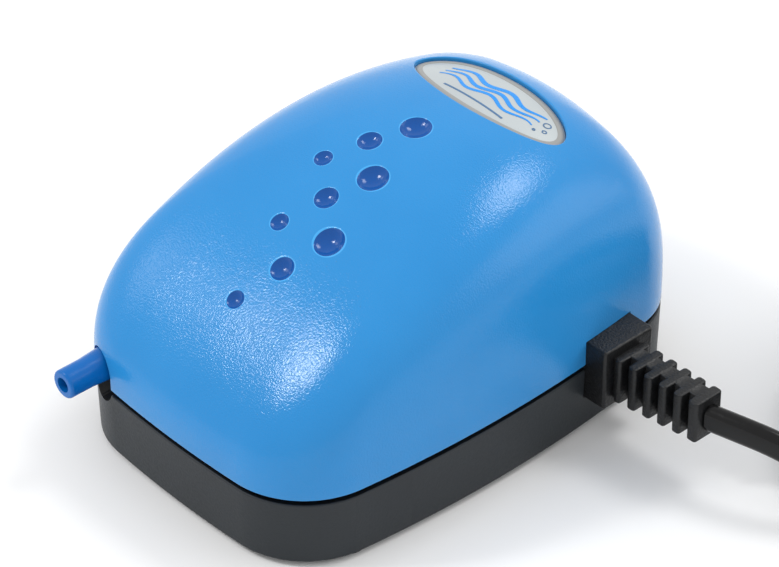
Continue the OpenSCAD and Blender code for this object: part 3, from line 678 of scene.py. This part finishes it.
def dimple_cutter(centre, normal, radius):
    """The tool for one dimple: a ball, with a flare that leaves a softly rounded rim."""
    ball, lift = dimple_ball(radius)
    start = math.radians(10)
    axis_r = 0.02  # stands for a radius of 0
    flare, height = 1.6, 1.5
    rim_z = -DIMPLE_RIM * math.cos(start)
    rim_r = math.sqrt((ball + DIMPLE_RIM) ** 2 - (lift - rim_z) ** 2)
    touch = math.atan2(rim_r, lift - rim_z)
    profile = [(lift - ball * math.cos(a), max(ball * math.sin(a), axis_r))
               for a in np.linspace(0, touch, 10)]
    profile += [(rim_z + DIMPLE_RIM * math.cos(a), rim_r - DIMPLE_RIM * math.sin(a))
                for a in np.linspace(touch, start, 6)[1:]]
    end_z, end_r = profile[-1]
    wide = end_r + flare * math.cos(start)
    profile += [(end_z + flare * math.sin(start), wide), (end_z + height, wide), (end_z + height, axis_r)]
    return loft("dimple_cutter", lathe(profile, centre, normal, 56))


def mark_polish(mesh):
    """Masks the faces of the polished dimples, whose points lie on the balls, and of their rims: the first
    mask also carries the dimples' painted shade, the second the rims' painted highlight.
    """
    points = mesh_points(mesh)
    on_ball, on_rim = np.zeros(len(points), bool), np.zeros(len(points), bool)
    for centre, normal, radius in dimple_places():
        ball, lift = dimple_ball(radius)
        off = np.abs(np.linalg.norm(points - centre - normal * lift, axis=1) - ball) < 2 * NEAR
        near = np.linalg.norm(points - centre, axis=1) < radius * 1.3
        on_ball[near & off] = True
        below = dome_z(points[near, 0], points[near, 1]) - points[near, 2]
        on_rim[np.flatnonzero(near)[(below > 1.2 * NEAR) & ~off[near]]] = True
    corners = [list(face.vertices) for face in mesh.polygons]
    polish_and_shade = [on_ball[c].all() for c in corners]
    rim = [on_rim[c].any() and not inside for c, inside in zip(corners, polish_and_shade)]
    # The dimple mask also carries their painted shade, and the rim mask the rims' painted highlight.
    for name, values in (("polish_and_shade", polish_and_shade), ("rim", rim)):
        attribute = mesh.attributes.new(name, "FLOAT", "FACE")
        attribute.data.foreach_set("value", np.array(values, np.float32))


def true_normals(mesh):
    """Gives the dome and the dimples the normals of the surfaces that their points lie on."""
    points = mesh_points(mesh)
    high = np.flatnonzero(points[:, 2] > EDGE_Z + 12)  # clear of the rounded edge and the cut openings
    high = high[np.abs(dome_z(points[high, 0], points[high, 1]) - points[high, 2]) < NEAR]
    on_dome, on_ball = np.zeros(len(points), bool), np.zeros(len(points), bool)
    dome_normals, ball_normals = np.zeros((len(points), 3)), np.zeros((len(points), 3))
    on_dome[high] = True
    dome_normals[high] = dome_normal(points[high, 0], points[high, 1])
    for centre, normal, radius in dimple_places():
        ball, lift = dimple_ball(radius)
        inwards = centre + normal * lift - points
        far = np.linalg.norm(inwards, axis=1)
        here = (np.abs(far - ball) < NEAR) & (np.linalg.norm(points - centre, axis=1) < radius * 1.1)
        on_ball |= here
        ball_normals[here] = inwards[here] / far[here][:, None]
    split = np.zeros((len(mesh.loops), 3))
    for face in mesh.polygons:
        corners = list(face.vertices)
        loops = slice(face.loop_start, face.loop_start + face.loop_total)
        if on_ball[corners].all():
            split[loops] = ball_normals[corners]
        elif on_dome[corners].all():
            split[loops] = dome_normals[corners]
    mesh.normals_split_custom_set(split.tolist())


def nozzle_axis():
    """The nozzle's place across the body and its height."""
    low, high = node_box("outlet_nozzle")
    return (low[0] + high[0]) / 2, (low[2] + high[2]) / 2


def slot_cutter():
    """A prism through the front wall, with round ends above and below."""
    x = nozzle_axis()[0]
    rings = []
    for y in (-BODY_L / 2 - 3, -40.0):
        ring = []
        for z, start in ((SLOT_Z[1], 0), (SLOT_Z[0], math.pi)):
            for a in np.linspace(start, start + math.pi, 25):
                ring.append([x + SLOT_R * math.cos(a), y, z + SLOT_R * math.sin(a)])
        rings.append(np.array(ring))
    return loft("slot_cutter", rings)


def cover_shell():
    """The cover without its openings: edge, dome and recess outside, and a plain dome inside."""
    outer_end = ellipse_reach(outline_directions(), RECESS_GAP + RECESS_ROUND)
    outer = edge_fillet() + dome_rings(0, 0, DOME_RINGS, outer_end) + recess_rings()
    count = len(outer[0])
    faces = wall_faces(outer)
    points = np.concatenate(outer)
    centre = len(points)
    floor_z = dome_z(*PEAK)[0] - BADGE_SINK - BADGE_T
    points = np.concatenate([points, [[*PEAK, floor_z]]])
    last = (len(outer) - 1) * count
    faces += [(last + k, last + (k + 1) % count, centre) for k in range(count)]
    inner = [at_height(outline(WALL), EDGE_Z)]
    inner += dome_rings(WALL, WALL, INNER_RINGS, np.full(count, INNER_END))
    first = len(points)
    for i in range(len(inner) - 1):
        faces += ring_faces(first + (i + 1) * count, first + i * count, count)
    faces += ring_faces(first, 0, count)
    points = np.concatenate([points] + inner)
    apex = len(points)
    points = np.concatenate([points, [[*PEAK, crown(*PEAK) - WALL]]])
    last = first + (len(inner) - 1) * count
    faces += [(last + (k + 1) % count, last + k, apex) for k in range(count)]
    return solid("cover", points, faces)


def make_cover():
    cover = cover_shell()
    gap = 0.1
    half = np.array([0, FLANGE_W / 2 + gap, FLANGE_H / 2 + gap])
    middle = np.array([0, FLANGE_Y, FLANGE_Z])
    window = box_solid("window", middle - half + [27, 0, 0], middle + half + [40, 0, 0])
    dimples = [dimple_cutter(*place) for place in dimple_places()]
    combine(cover, [slot_cutter(), window] + dimples, "DIFFERENCE")
    mark_polish(cover.data)
    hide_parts("top_cover")
    finish_piece(cover, "cover_blue", angle=32)
    true_normals(cover.data)


def make_tray():
    """The CAD tray, with its outside drawn in by a draft and rounded below and above."""
    tray = new_object("tray", NODES["base_tray"].data.copy())
    draft = math.tan(math.radians(1.2))
    skin = 0.1
    low_round, top_round = 0.5, 0.3
    drawn_in = skin + draft * (TRAY_TOP - FOOT_DROP)
    rings = [(drawn_in + inset, FOOT_DROP - 0.02 + up) for inset, up in quarter_round(low_round, 6)]
    rings += [(skin + inset, TRAY_TOP - down) for down, inset in quarter_round(top_round, 5)]
    rings += [(WALL + 0.1, TRAY_TOP), (WALL + 0.1, 30.0)]
    combine(tray, [loft("tray_form", [at_height(outline(inset), z) for inset, z in rings])], "INTERSECT")
    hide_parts("base_tray")
    finish_piece(tray, "tray_grey", angle=30)
    # The second material is painted shade for the tray's inner faces.
    tray.data.materials.append(MATERIALS["tray_painted_shade"])
    finish_tray(tray.data, FOOT_DROP + low_round - 0.03, TRAY_TOP - top_round + 0.01)


def finish_tray(mesh, low, high):
    """Gives the flank between two heights the outline's normals, and the inner faces the second material, a
    darker one that paints shade on them.
    """
    points = mesh_points(mesh)
    side = side_normals(points)
    flank = (edge_depth(points) < 0.6) & (points[:, 2] > low) & (points[:, 2] < high)
    split = np.zeros((len(mesh.loops), 3))
    for face in mesh.polygons:
        corners = list(face.vertices)
        centre = np.array([face.center]) / MM - [0, BODY_Y, 0]
        # Faces higher than 3 mm and more than half a millimetre inside the outline get painted shade: the
        # tray's inner faces and its rim under the cover.
        if centre[0, 2] > 3.0 and edge_depth(centre)[0] > 0.5:
            face.material_index = 1
        if flank[corners].all() and np.dot(face.normal, side[corners[0]]) > 0.9:
            split[face.loop_start:face.loop_start + face.loop_total] = side[corners]
    mesh.normals_split_custom_set(split.tolist())


def make_nozzle():
    low, high = node_box("outlet_nozzle")
    x, z = nozzle_axis()
    stem_end = high[1] - low[1]
    tip_r, root_r, bore_r, collar_r, stem_r = 2.75, 3.1, 1.4, 4.8, 2.6
    straight, cone_end, collar, collar_end = 5, 10, 11.6, 13.0
    mouth, mouth_grow, rounding = 1.2, 0.06, 0.75
    profile = [(mouth, bore_r)]
    profile += round_profile([(0, bore_r + mouth_grow), (0, tip_r), (straight, tip_r)], rounding, 8)
    profile += [(cone_end, root_r), (collar, root_r), (collar, collar_r), (collar_end, collar_r),
                (collar_end, stem_r), (stem_end, stem_r), (stem_end, bore_r), (mouth, bore_r)]
    nozzle = loft("nozzle", lathe(profile, [x, low[1], z], [0, 1, 0]), capped=False)
    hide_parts("outlet_nozzle")
    finish_piece(nozzle, "nozzle_blue")


# ---- badge ----

def dome_plate(name, plan, low, high, closed):
    """A closed plate that follows the dome over rows of plan points. Rows are rings when closed."""
    rows, count = plan.shape[:2]
    flat = plan.reshape(-1, 2)
    z = dome_z(flat[:, 0], flat[:, 1])
    total = len(flat)
    points = np.concatenate([at_height(flat, z + low), at_height(flat, z + high)])
    faces = []
    span = count if closed else count - 1
    for i in range(rows - 1):
        for k in range(span):
            a, b = i * count + k, i * count + (k + 1) % count
            quad = (a, b, b + count, a + count)
            faces += [quad[::-1], tuple(q + total for q in quad)]
    for row in (0, rows - 1):
        for k in range(span):
            a, b = row * count + k, row * count + (k + 1) % count
            faces.append((a, b, b + total, a + total))
    if not closed:
        for k in (0, count - 1):
            for i in range(rows - 1):
                a, b = i * count + k, (i + 1) * count + k
                faces.append((a, b, b + total, a + total))
    return solid(name, points, faces)


def ribbon(name, centreline, width):
    """A printed band along a line on the badge, with one width or a width for each point."""
    line = np.asarray(centreline, float)
    tangent = unit_rows(np.gradient(line, axis=0))
    normal = np.column_stack([-tangent[:, 1], tangent[:, 0]])
    width = np.broadcast_to(np.asarray(width, float), len(line))[:, None]
    plan = np.stack([line - normal * width / 2, line, line + normal * width / 2])
    return dome_plate(name, plan, PRINT_LOW, PRINT_HIGH, closed=False)


def bubble(name, centre, radius, band):
    """A printed ring on the badge."""
    turn = np.linspace(0, 2 * math.pi, 40, endpoint=False)
    circle = np.column_stack([np.cos(turn), np.sin(turn)])
    plan = np.stack([centre + circle * r for r in (radius - band, radius)])
    return dome_plate(name, plan, PRINT_LOW, PRINT_HIGH, closed=True)


BORDER = 1.45
BORDER_GAP = 0.14
PRINT_LOW, PRINT_HIGH = -BADGE_SINK + 0.005, -BADGE_SINK + 0.035


def make_badge():
    """The silver plate and its raised border, then what is printed on the plate."""
    turn = np.linspace(0, 2 * math.pi, 160, endpoint=False)
    circle = np.column_stack([np.cos(turn), np.sin(turn)])
    shares = [0.002, 0.2, 0.4, 0.6, 0.8, 0.93, 1.0]
    plan = np.stack([BADGE_MID + circle * [BADGE_A * s, BADGE_B * s] for s in shares])
    plate = dome_plate("badge_plate", plan, -BADGE_SINK - BADGE_T, -BADGE_SINK, closed=True)
    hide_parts("badge")
    finish_piece(plate, "badge_metal")
    insets = [BORDER_GAP, BORDER_GAP + BORDER * 0.1, BORDER * 0.5, BORDER * 0.88, BORDER]
    lifts = np.repeat([0.03, 0.12, 0.15, 0.12, 0.03], len(circle))
    plan = np.stack([BADGE_MID + circle * [BADGE_A - i, BADGE_B - i] for i in insets])
    border = dome_plate("badge_border", plan, -BADGE_SINK - 0.1, -BADGE_SINK + lifts, closed=True)
    finish_piece(border, "badge_border")
    make_prints()


def make_prints():
    """Three waves, a line under them and three bubbles, as thin layers on the plate."""
    x = np.linspace(-11.5, 11.5, 90)
    taper = np.sin(np.linspace(0.15, math.pi - 0.15, 90)) ** 0.6
    prints = []
    for i, (rise, width) in enumerate([(2.5, 1.1), (0.6, 0.95), (-1.2, 0.8)]):
        wave = 0.75 * np.sin(x * 2 * math.pi / 9.5 + 0.5 * i)
        line = np.column_stack([x, BADGE_MID[1] + rise + wave])
        prints.append((ribbon(f"wave_{i}", line, width * taper), "print_blue"))
    x = np.linspace(-7.5, 7.5, 60)
    line = np.column_stack([x, BADGE_MID[1] - 3.9 - 0.003 * x * x])
    prints.append((ribbon("underline", line, 0.45), "print_slate"))
    for i, (dx, dy, radius) in enumerate([(12.9, 1.9, 0.8), (14.0, 0.1, 0.5), (12.6, -1.2, 0.35)]):
        prints.append((bubble(f"bubble_{i}", BADGE_MID + [dx, dy], radius, 0.24), "print_slate"))
    for piece, material in prints:
        finish_piece(piece, material)


# ---- lead ----

CORD_W, CORD_T = 5.4, 3.4
CORD_ROUTE = [
    (57.9, 25.2, 14), (60, 25.7, 14), (63, 26.45, 14), (66, 27.3, 13.9), (69, 28.3, 13.6), (72, 29.4, 13),
    (75, 30.7, 12.1), (78.5, 32.4, 10.7), (82, 34.3, 8.9), (85.5, 36.4, 7.1), (89, 38.7, 5.5),
    (91.2, 40, 4.7), (93.5, 41.2, 4)]
TAIL_ROUTE = [
    (83, 107.2, 8.5), (76.5, 106.1, 9.4), (70.6, 103.9, 11), (65, 100.5, 12.7), (60, 95.9, 13.8),
    (56, 90.1, 14.1), (53.2, 83.5, 14.1), (51.9, 76, 14.1), (52.3, 68, 14.1), (54.8, 60.2, 14.1),
    (59, 53.4, 14.1), (65, 47.4, 14.1), (72, 43.4, 14.1), (79, 41.3, 14.1), (85, 40.8, 14.2),
    (89, 41.2, 14.4), (93, 42.4, 14.8), (97, 44.6, 15.3), (100.4, 47.6, 15.9), (103.2, 51.5, 16.6),
    (105.2, 56, 17.4), (106, 60, 18)]
COIL_MID = np.array([85.0, 74.0])
COIL_TURNS = (33.2, 29.7, 26.2)  # radii of the turns side by side
COIL_LAYERS = (2.95, 8.45)  # heights of the layers
COIL_STEP = 10  # degrees
COIL_ROUNDS = 5
LINE_STEPS = 4


def smooth_step(value, start, end):
    """Rises smoothly from 0 at start to 1 at end."""
    t = min(1, max(0, (value - start) / (end - start)))
    return t * t * (3 - 2 * t)


def coil_radius(angle):
    """Radius of the turn at an angle, in degrees, from where the cord reaches the coil.

    The lower layer steps inwards turn by turn, and the upper layer steps outwards again.
    """
    outer, middle, inner = COIL_TURNS
    entry = math.hypot(*(np.array(CORD_ROUTE[-1][:2]) - COIL_MID))
    radius = entry + (outer - entry) * smooth_step(angle, 0, 40)
    changes = (middle - outer, inner - middle, middle - inner, outer - middle)
    for change, start in zip(changes, (300, 660, 1295, 1655)):
        radius += change * smooth_step(angle, start, start + 40)
    return radius


def coil_height(angle):
    """Height of the cord at an angle: down onto the surface, and later up onto the first layer."""
    low, high = COIL_LAYERS
    entry = CORD_ROUTE[-1][2]
    return entry + (low - entry) * smooth_step(angle, -10, 40) + (high - low) * smooth_step(angle, 975, 1020)


def coil_points():
    start = heading(np.array(CORD_ROUTE[-1][:2]) - COIL_MID)
    end = heading(np.array(TAIL_ROUTE[0][:2]) - COIL_MID)
    last = COIL_ROUNDS * 360 + math.degrees(end - start)
    points = []
    for angle in np.arange(COIL_STEP, last - COIL_STEP / 2, COIL_STEP):
        a = start + math.radians(angle)
        xy = COIL_MID + coil_radius(angle) * unit(a)
        points.append((xy[0], xy[1], coil_height(angle)))
    return points


def smooth_line(points, steps):
    """A curve through the points, with a number of steps between each two."""
    p = np.asarray(points, float)
    p = np.concatenate([[2 * p[0] - p[1]], p, [2 * p[-1] - p[-2]]])
    out = []
    for i in range(1, len(p) - 2):
        a, b, c, d = p[i - 1:i + 3]
        for t in np.linspace(0, 1, steps, endpoint=False):
            out.append(0.5 * (2 * b + (c - a) * t + (2 * a - 5 * b + 4 * c - d) * t * t
                              + (3 * b - a - 3 * c + d) * t ** 3))
    out.append(p[-2])
    return np.array(out)


def cord_section():
    """The cord's section: flat sides with round edges above and below."""
    r = CORD_T / 2
    half = (CORD_W - CORD_T) / 2
    top = [(r * math.cos(a), half + r * math.sin(a)) for a in np.linspace(0, math.pi, 11)]
    low = [(-y, -z) for y, z in top]
    return np.array(top + low)


def sweep(name, line, section):
    """A solid with one section along a line, its long side kept upright."""
    tangent = unit_rows(np.gradient(line, axis=0))
    side = unit_rows(np.cross(tangent, [0, 0, 1.0]))
    up = np.cross(side, tangent)
    rings = [p + section[:, :1] * s + section[:, 1:] * u for p, s, u in zip(line, side, up)]
    return loft(name, rings)


def make_cord():
    line = smooth_line(CORD_ROUTE + coil_points() + TAIL_ROUTE, LINE_STEPS)
    cord = sweep("cord", line, cord_section())
    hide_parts("power_cord", "cord_coil", "cord_tail")
    finish_piece(cord, "cord_black", angle=60)
    return cord, line


FLANGE_X, FLANGE_Y, FLANGE_Z = 38.8, 24.4, 14.0  # outer face and middle of the block in the wall
FLANGE_W, FLANGE_H = 12.0, 12.6
FLANGE_X0 = 28.0
NECK_W, NECK_H = 6.4, 8.8
RIBS = 6
RIB_X, RIB_PITCH, RIB_T = 38.95, 3.35, 1.9
RIB_W, RIB_H, RIB_Y = (7.6, 6.6), (9.5, 8.5), (23.9, 25.1)  # of the first rib and the last
FIRST_RIB_LESS, LAST_RIB_MORE = 0.25, 0.3
WEB_W, WEB_SHIFT, WEB_ROUND = 3.3, 0.5, 0.3


def between(ends, share):
    return ends[0] + (ends[1] - ends[0]) * share


def relief_web():
    """The thin web that joins the ribs: a bar with round edges, off to one side."""
    rings = []
    for share in (0.0, 1.0):
        x = RIB_X + 0.6 + share * (RIBS - 1) * RIB_PITCH
        middle = [between(RIB_Y, share) + WEB_SHIFT, FLANGE_Z]
        half = np.array([WEB_W / 2, between(RIB_H, share) / 2 - 0.02])
        yz = middle + round_rectangle(half, WEB_ROUND)
        rings.append(np.column_stack([np.full(len(yz), x), yz]))
    return loft("web", rings)


def make_relief():
    """The moulded strain relief: a block in the housing's wall, then ribs on a thin web."""
    half = np.array([0, FLANGE_W / 2, FLANGE_H / 2])
    middle = np.array([0, FLANGE_Y, FLANGE_Z])
    relief = pebble("relief", middle - half + [FLANGE_X0, 0, 0], middle + half + [FLANGE_X, 0, 0], 0.6, 0.4)
    parts = [box_solid("neck", [FLANGE_X - 1, RIB_Y[0] - NECK_W / 2, FLANGE_Z - NECK_H / 2],
                       [RIB_X + 0.9, RIB_Y[0] + NECK_W / 2, FLANGE_Z + NECK_H / 2])]
    for i in range(RIBS):
        share = i / (RIBS - 1)
        x, y = RIB_X + i * RIB_PITCH, between(RIB_Y, share)
        end = x + RIB_T + (LAST_RIB_MORE if i == RIBS - 1 else 0)
        if i == 0:
            x += FIRST_RIB_LESS
        w, h = between(RIB_W, share) / 2, between(RIB_H, share) / 2
        parts.append(pebble(f"rib_{i}", [x, y - w, FLANGE_Z - h], [end, y + w, FLANGE_Z + h], 0.62, 0.3))
    parts.append(relief_web())
    combine(relief, parts, "UNION")
    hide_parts("strain_relief")
    return finish_piece(relief, "relief_black", angle=40)


BOOT_L = 10.0  # from the plug's body back along the lead
PLUG_NOSE, PLUG_NOSE_L, PLUG_FLARE_Y = 6.5, 2.0, 20.0
GROOVES, GROOVE_Y, GROOVE_PITCH, GROOVE_W, GROOVE_DEPTH = 6, 6.5, 2.4, 1.0, 0.5
BOOT_RINGS, BOOT_PITCH, BOOT_RING_W, BOOT_CUT = 5, 1.7, 0.6, 0.7


def boot_profile():
    """The plug's boot, as [distance, radius]: rings that widen towards the plug."""
    profile = [(0, 3.6)]
    for k in range(BOOT_RINGS):
        a = 1.1 + k * BOOT_PITCH
        r = 3.7 + 0.12 * a
        profile += [(a, r), (a + 0.05, r - BOOT_CUT), (a + BOOT_RING_W, r - BOOT_CUT), (a + 0.65, r + 0.05)]
    return profile + [(BOOT_L + 0.6, 4.8)]


def make_plug():
    """A flat two-pole plug: a body that flares towards the pins, with grip grooves and a boot."""
    low, high = node_box("power_plug")
    (mid_x, _, mid_z), (half_w, _, half_t) = (low + high) / 2, (high - low) / 2
    y0 = low[1] + BOOT_L
    plan = [(-PLUG_NOSE, 0), (-PLUG_NOSE, PLUG_NOSE_L), (-half_w, PLUG_FLARE_Y), (-half_w, high[1] - y0)]
    left = round_profile(plan, 6, 8)
    plan = [(p[0], p[1]) for p in left] + [(-p[0], p[1]) for p in reversed(left)]
    rings = [np.array([[mid_x + a, y0 + b, z] for a, b in plan]) for z in (mid_z - half_t, mid_z + half_t)]
    plug = loft("plug", rings)
    soften(plug, 2.2, 5, 60)
    grooves = []
    for side in (-1, 1):
        z = mid_z + side * half_t
        for k in range(GROOVES):
            y = y0 + GROOVE_Y + k * GROOVE_PITCH
            half = 4.2 + k * 1.1
            grooves.append(box_solid("groove", [mid_x - half, y, z - GROOVE_DEPTH],
                                     [mid_x + half, y + GROOVE_W, z + GROOVE_DEPTH]))
    combine(plug, grooves, "DIFFERENCE")
    boot = loft("boot", lathe(boot_profile(), [mid_x, low[1], mid_z], [0, 1, 0], 48))
    combine(plug, [boot], "UNION")
    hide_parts("power_plug")
    return finish_piece(plug, "plug_black", angle=35)


SLEEVE_L = 10.0  # how far the insulation reaches along a pin
PIN_ROUND = 1.4


def make_pins():
    low, high = node_box("plug_pins")
    mid_z, radius = (low[2] + high[2]) / 2, (high[2] - low[2]) / 2
    length = high[1] - low[1]
    tip = round_profile([(SLEEVE_L - 0.5, radius), (length, radius), (length, 0.3)], PIN_ROUND)
    sleeve = [(0, radius), (SLEEVE_L - 0.3, radius), (SLEEVE_L, radius - 0.1)]
    pieces = []
    for i, x in enumerate((low[0] + radius, high[0] - radius)):
        for name, profile, material in (("pin", tip, "nickel"), ("pin_sleeve", sleeve, "plug_black")):
            piece = loft(f"{name}_{i}", lathe(profile, [x, low[1], mid_z], [0, 1, 0], 40))
            pieces.append(finish_piece(piece, material))
    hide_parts("plug_pins")
    return pieces


TIE_ANGLE = -20  # degrees round the coil
TIE_R = (24.02, 35.38)  # from the middle of the coil
TIE_TOP, TIE_T, TIE_W, TIE_ROUND = 11.48, 0.3, 3.2, 1.4


def make_tie():
    """A flat band that goes once round the coil's turns."""
    out = unit(math.radians(TIE_ANGLE))
    along = np.array([-out[1], out[0]])
    (r0, r1), bottom = TIE_R, TIE_T / 2
    start = ((r0 + r1) / 2, bottom)
    loop = [start, (r1, bottom), (r1, TIE_TOP), (r0, TIE_TOP), (r0, bottom), start]
    loop = np.array(round_profile(loop, TIE_ROUND, 6)[:-1])
    tangent = unit_rows(np.roll(loop, -1, 0) - np.roll(loop, 1, 0))
    normal = np.column_stack([tangent[:, 1], -tangent[:, 0]])
    rings = []
    for p, n in zip(loop, normal):
        ring = []
        for a, b in ((-1, -1), (1, -1), (1, 1), (-1, 1)):
            r, z = p + n * a * TIE_T / 2
            xy = COIL_MID + out * r + along * b * TIE_W / 2
            ring.append([*xy, z])
        rings.append(np.array(ring))
    band = loft("tie_band", rings + rings[:1], capped=False)
    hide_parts("cord_tie")
    return finish_piece(band, "plug_black")


# ---- inside ----

# The cup's outline as [distance from the back of its rim, radius], once round from the rim's edge
CUP_OUTLINE = [[0.75, 12], [1.5, 12], [1.5, 10], [4.8, 9.2], [9.8, 6.4], [9.8, 1.6], [7.8, 1.6],
               [7.8, 6], [4.4, 8.2], [1.2, 9], [0, 9.6], [0, 12], [0.75, 12]]
CUP_ROUND = 0.5


def make_diaphragm():
    """The rubber cup of the pump, whose rim is held in the head and whose middle the arm drives, made as one
    still piece.
    """
    low, high = node_box("diaphragm")
    back = np.array([low[0], *(low + high)[1:] / 2])
    rings = lathe(round_profile(CUP_OUTLINE, CUP_ROUND), back, [1, 0, 0])
    cup = loft("diaphragm_cup", rings, capped=False)
    cup.data.materials.append(MATERIALS["foot_rubber"])
    shade(cup)
    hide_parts("diaphragm")
    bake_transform(cup)


def dress_cad_nodes():
    """Gives each CAD node that shows the material of its slot."""
    slots = {s["node"]: s["material_slot"] for s in frame["record"]["subparts"]}
    for name, node in NODES.items():
        node.data.materials.clear()
        node.data.materials.append(MATERIALS[slots[name]])


# ---- camera ----

def place_at(thing, x_axis, y_axis, z_axis, place):
    columns = np.eye(4)
    columns[:3, 0], columns[:3, 1], columns[:3, 2], columns[:3, 3] = x_axis, y_axis, z_axis, place
    thing.matrix_world = Matrix(columns.tolist())


CAMERA_AZIMUTH = math.radians(47.88)
CAMERA_ELEVATION = math.radians(37.28)
CAMERA_ROLL = math.radians(-0.187)
CAMERA_DISTANCE = 0.6995
CAMERA_TARGET = np.array([-0.0196, 0.0257, 0.0010])
CAMERA_LENS = 171.0
CAMERA_SHIFT = (-0.0124, 0.0016)


def make_camera():
    az, el, roll = CAMERA_AZIMUTH, CAMERA_ELEVATION, CAMERA_ROLL
    right = np.array([math.cos(az), math.sin(az), 0])
    back = np.array([math.sin(az) * math.cos(el), -math.cos(az) * math.cos(el), math.sin(el)])
    up = np.cross(back, right)
    x_axis = math.cos(roll) * right + math.sin(roll) * up
    y_axis = -math.sin(roll) * right + math.cos(roll) * up
    data = bpy.data.cameras.new("camera")
    data.sensor_width = 36.0
    data.lens = CAMERA_LENS
    data.shift_x, data.shift_y = CAMERA_SHIFT
    data.clip_start, data.clip_end = 0.01, 20.0
    camera = new_object("camera", data)
    place_at(camera, x_axis, y_axis, back, CAMERA_TARGET + back * CAMERA_DISTANCE)
    bpy.context.scene.camera = camera


# ---- studio ----

FLOOR_SIZE = 3.0
LIGHT_TARGET = np.array([0, 0, 0.04])
# Direction from the target, distance, width and height in metres, power in watts
LIGHTS = {
    "left_front": ((-0.45, -0.53, 0.72), 1.0, (0.14, 0.22), 2.8),
    "left": ((-0.74, -0.42, 0.53), 1.0, (0.24, 0.24), 0.5),
    "right_rear": ((0.08, 0.55, 0.83), 1.0, (0.34, 0.26), 2.4),
    "right_fill": ((0.62, 0.68, 0.40), 1.2, (0.9, 0.6), 2.2),
}
WORLD_STRENGTH = 0.86


def make_floor():
    mesh = bpy.data.meshes.new("floor")
    corners = [(x * FLOOR_SIZE, y * FLOOR_SIZE, 0) for x, y in ((-1, -1), (1, -1), (1, 1), (-1, 1))]
    mesh.from_pydata(corners, [], [(0, 1, 2, 3)])
    material, tree, shader, at = new_material("floor")
    tone = remap(tree, noise(tree, 4, 2, 0.5, at))
    pale = mix_colours(tree, tone, (0.93, 0.93, 0.93, 1), (0.92, 0.92, 0.92, 1))
    feed(tree, shader, {"Base Color": pale, "Roughness": 0.9, "Specular IOR Level": 0.1})
    mesh.materials.append(material)
    new_object("floor", mesh)


def area_light(name, direction, distance, size, power):
    data = bpy.data.lights.new(name, "AREA")
    data.shape = "RECTANGLE"
    data.size, data.size_y = size
    data.energy = power
    light = new_object(name, data)
    away = np.array(direction) * distance
    z_axis = away / np.linalg.norm(away)
    x_axis = np.cross([0, 0, 1.0], z_axis)
    x_axis /= np.linalg.norm(x_axis)
    place_at(light, x_axis, np.cross(z_axis, x_axis), z_axis, LIGHT_TARGET + away)


def make_lights():
    scene = bpy.context.scene
    scene.view_settings.view_transform = "Standard"
    scene.world = bpy.data.worlds.new("studio")
    scene.world.use_nodes = True
    background = scene.world.node_tree.nodes["Background"]
    feed(scene.world.node_tree, background, {"Color": (1, 1, 1, 1), "Strength": WORLD_STRENGTH})
    for name, facts in LIGHTS.items():
        area_light(name, *facts)


# ---- the whole ----

cord, cord_line = make_cord()
relief = make_relief()
plug = make_plug()
pins = make_pins()
tie = make_tie()
make_cover()
make_tray()
make_nozzle()
make_badge()
make_diaphragm()
dress_cad_nodes()
make_floor()
make_lights()
make_camera()
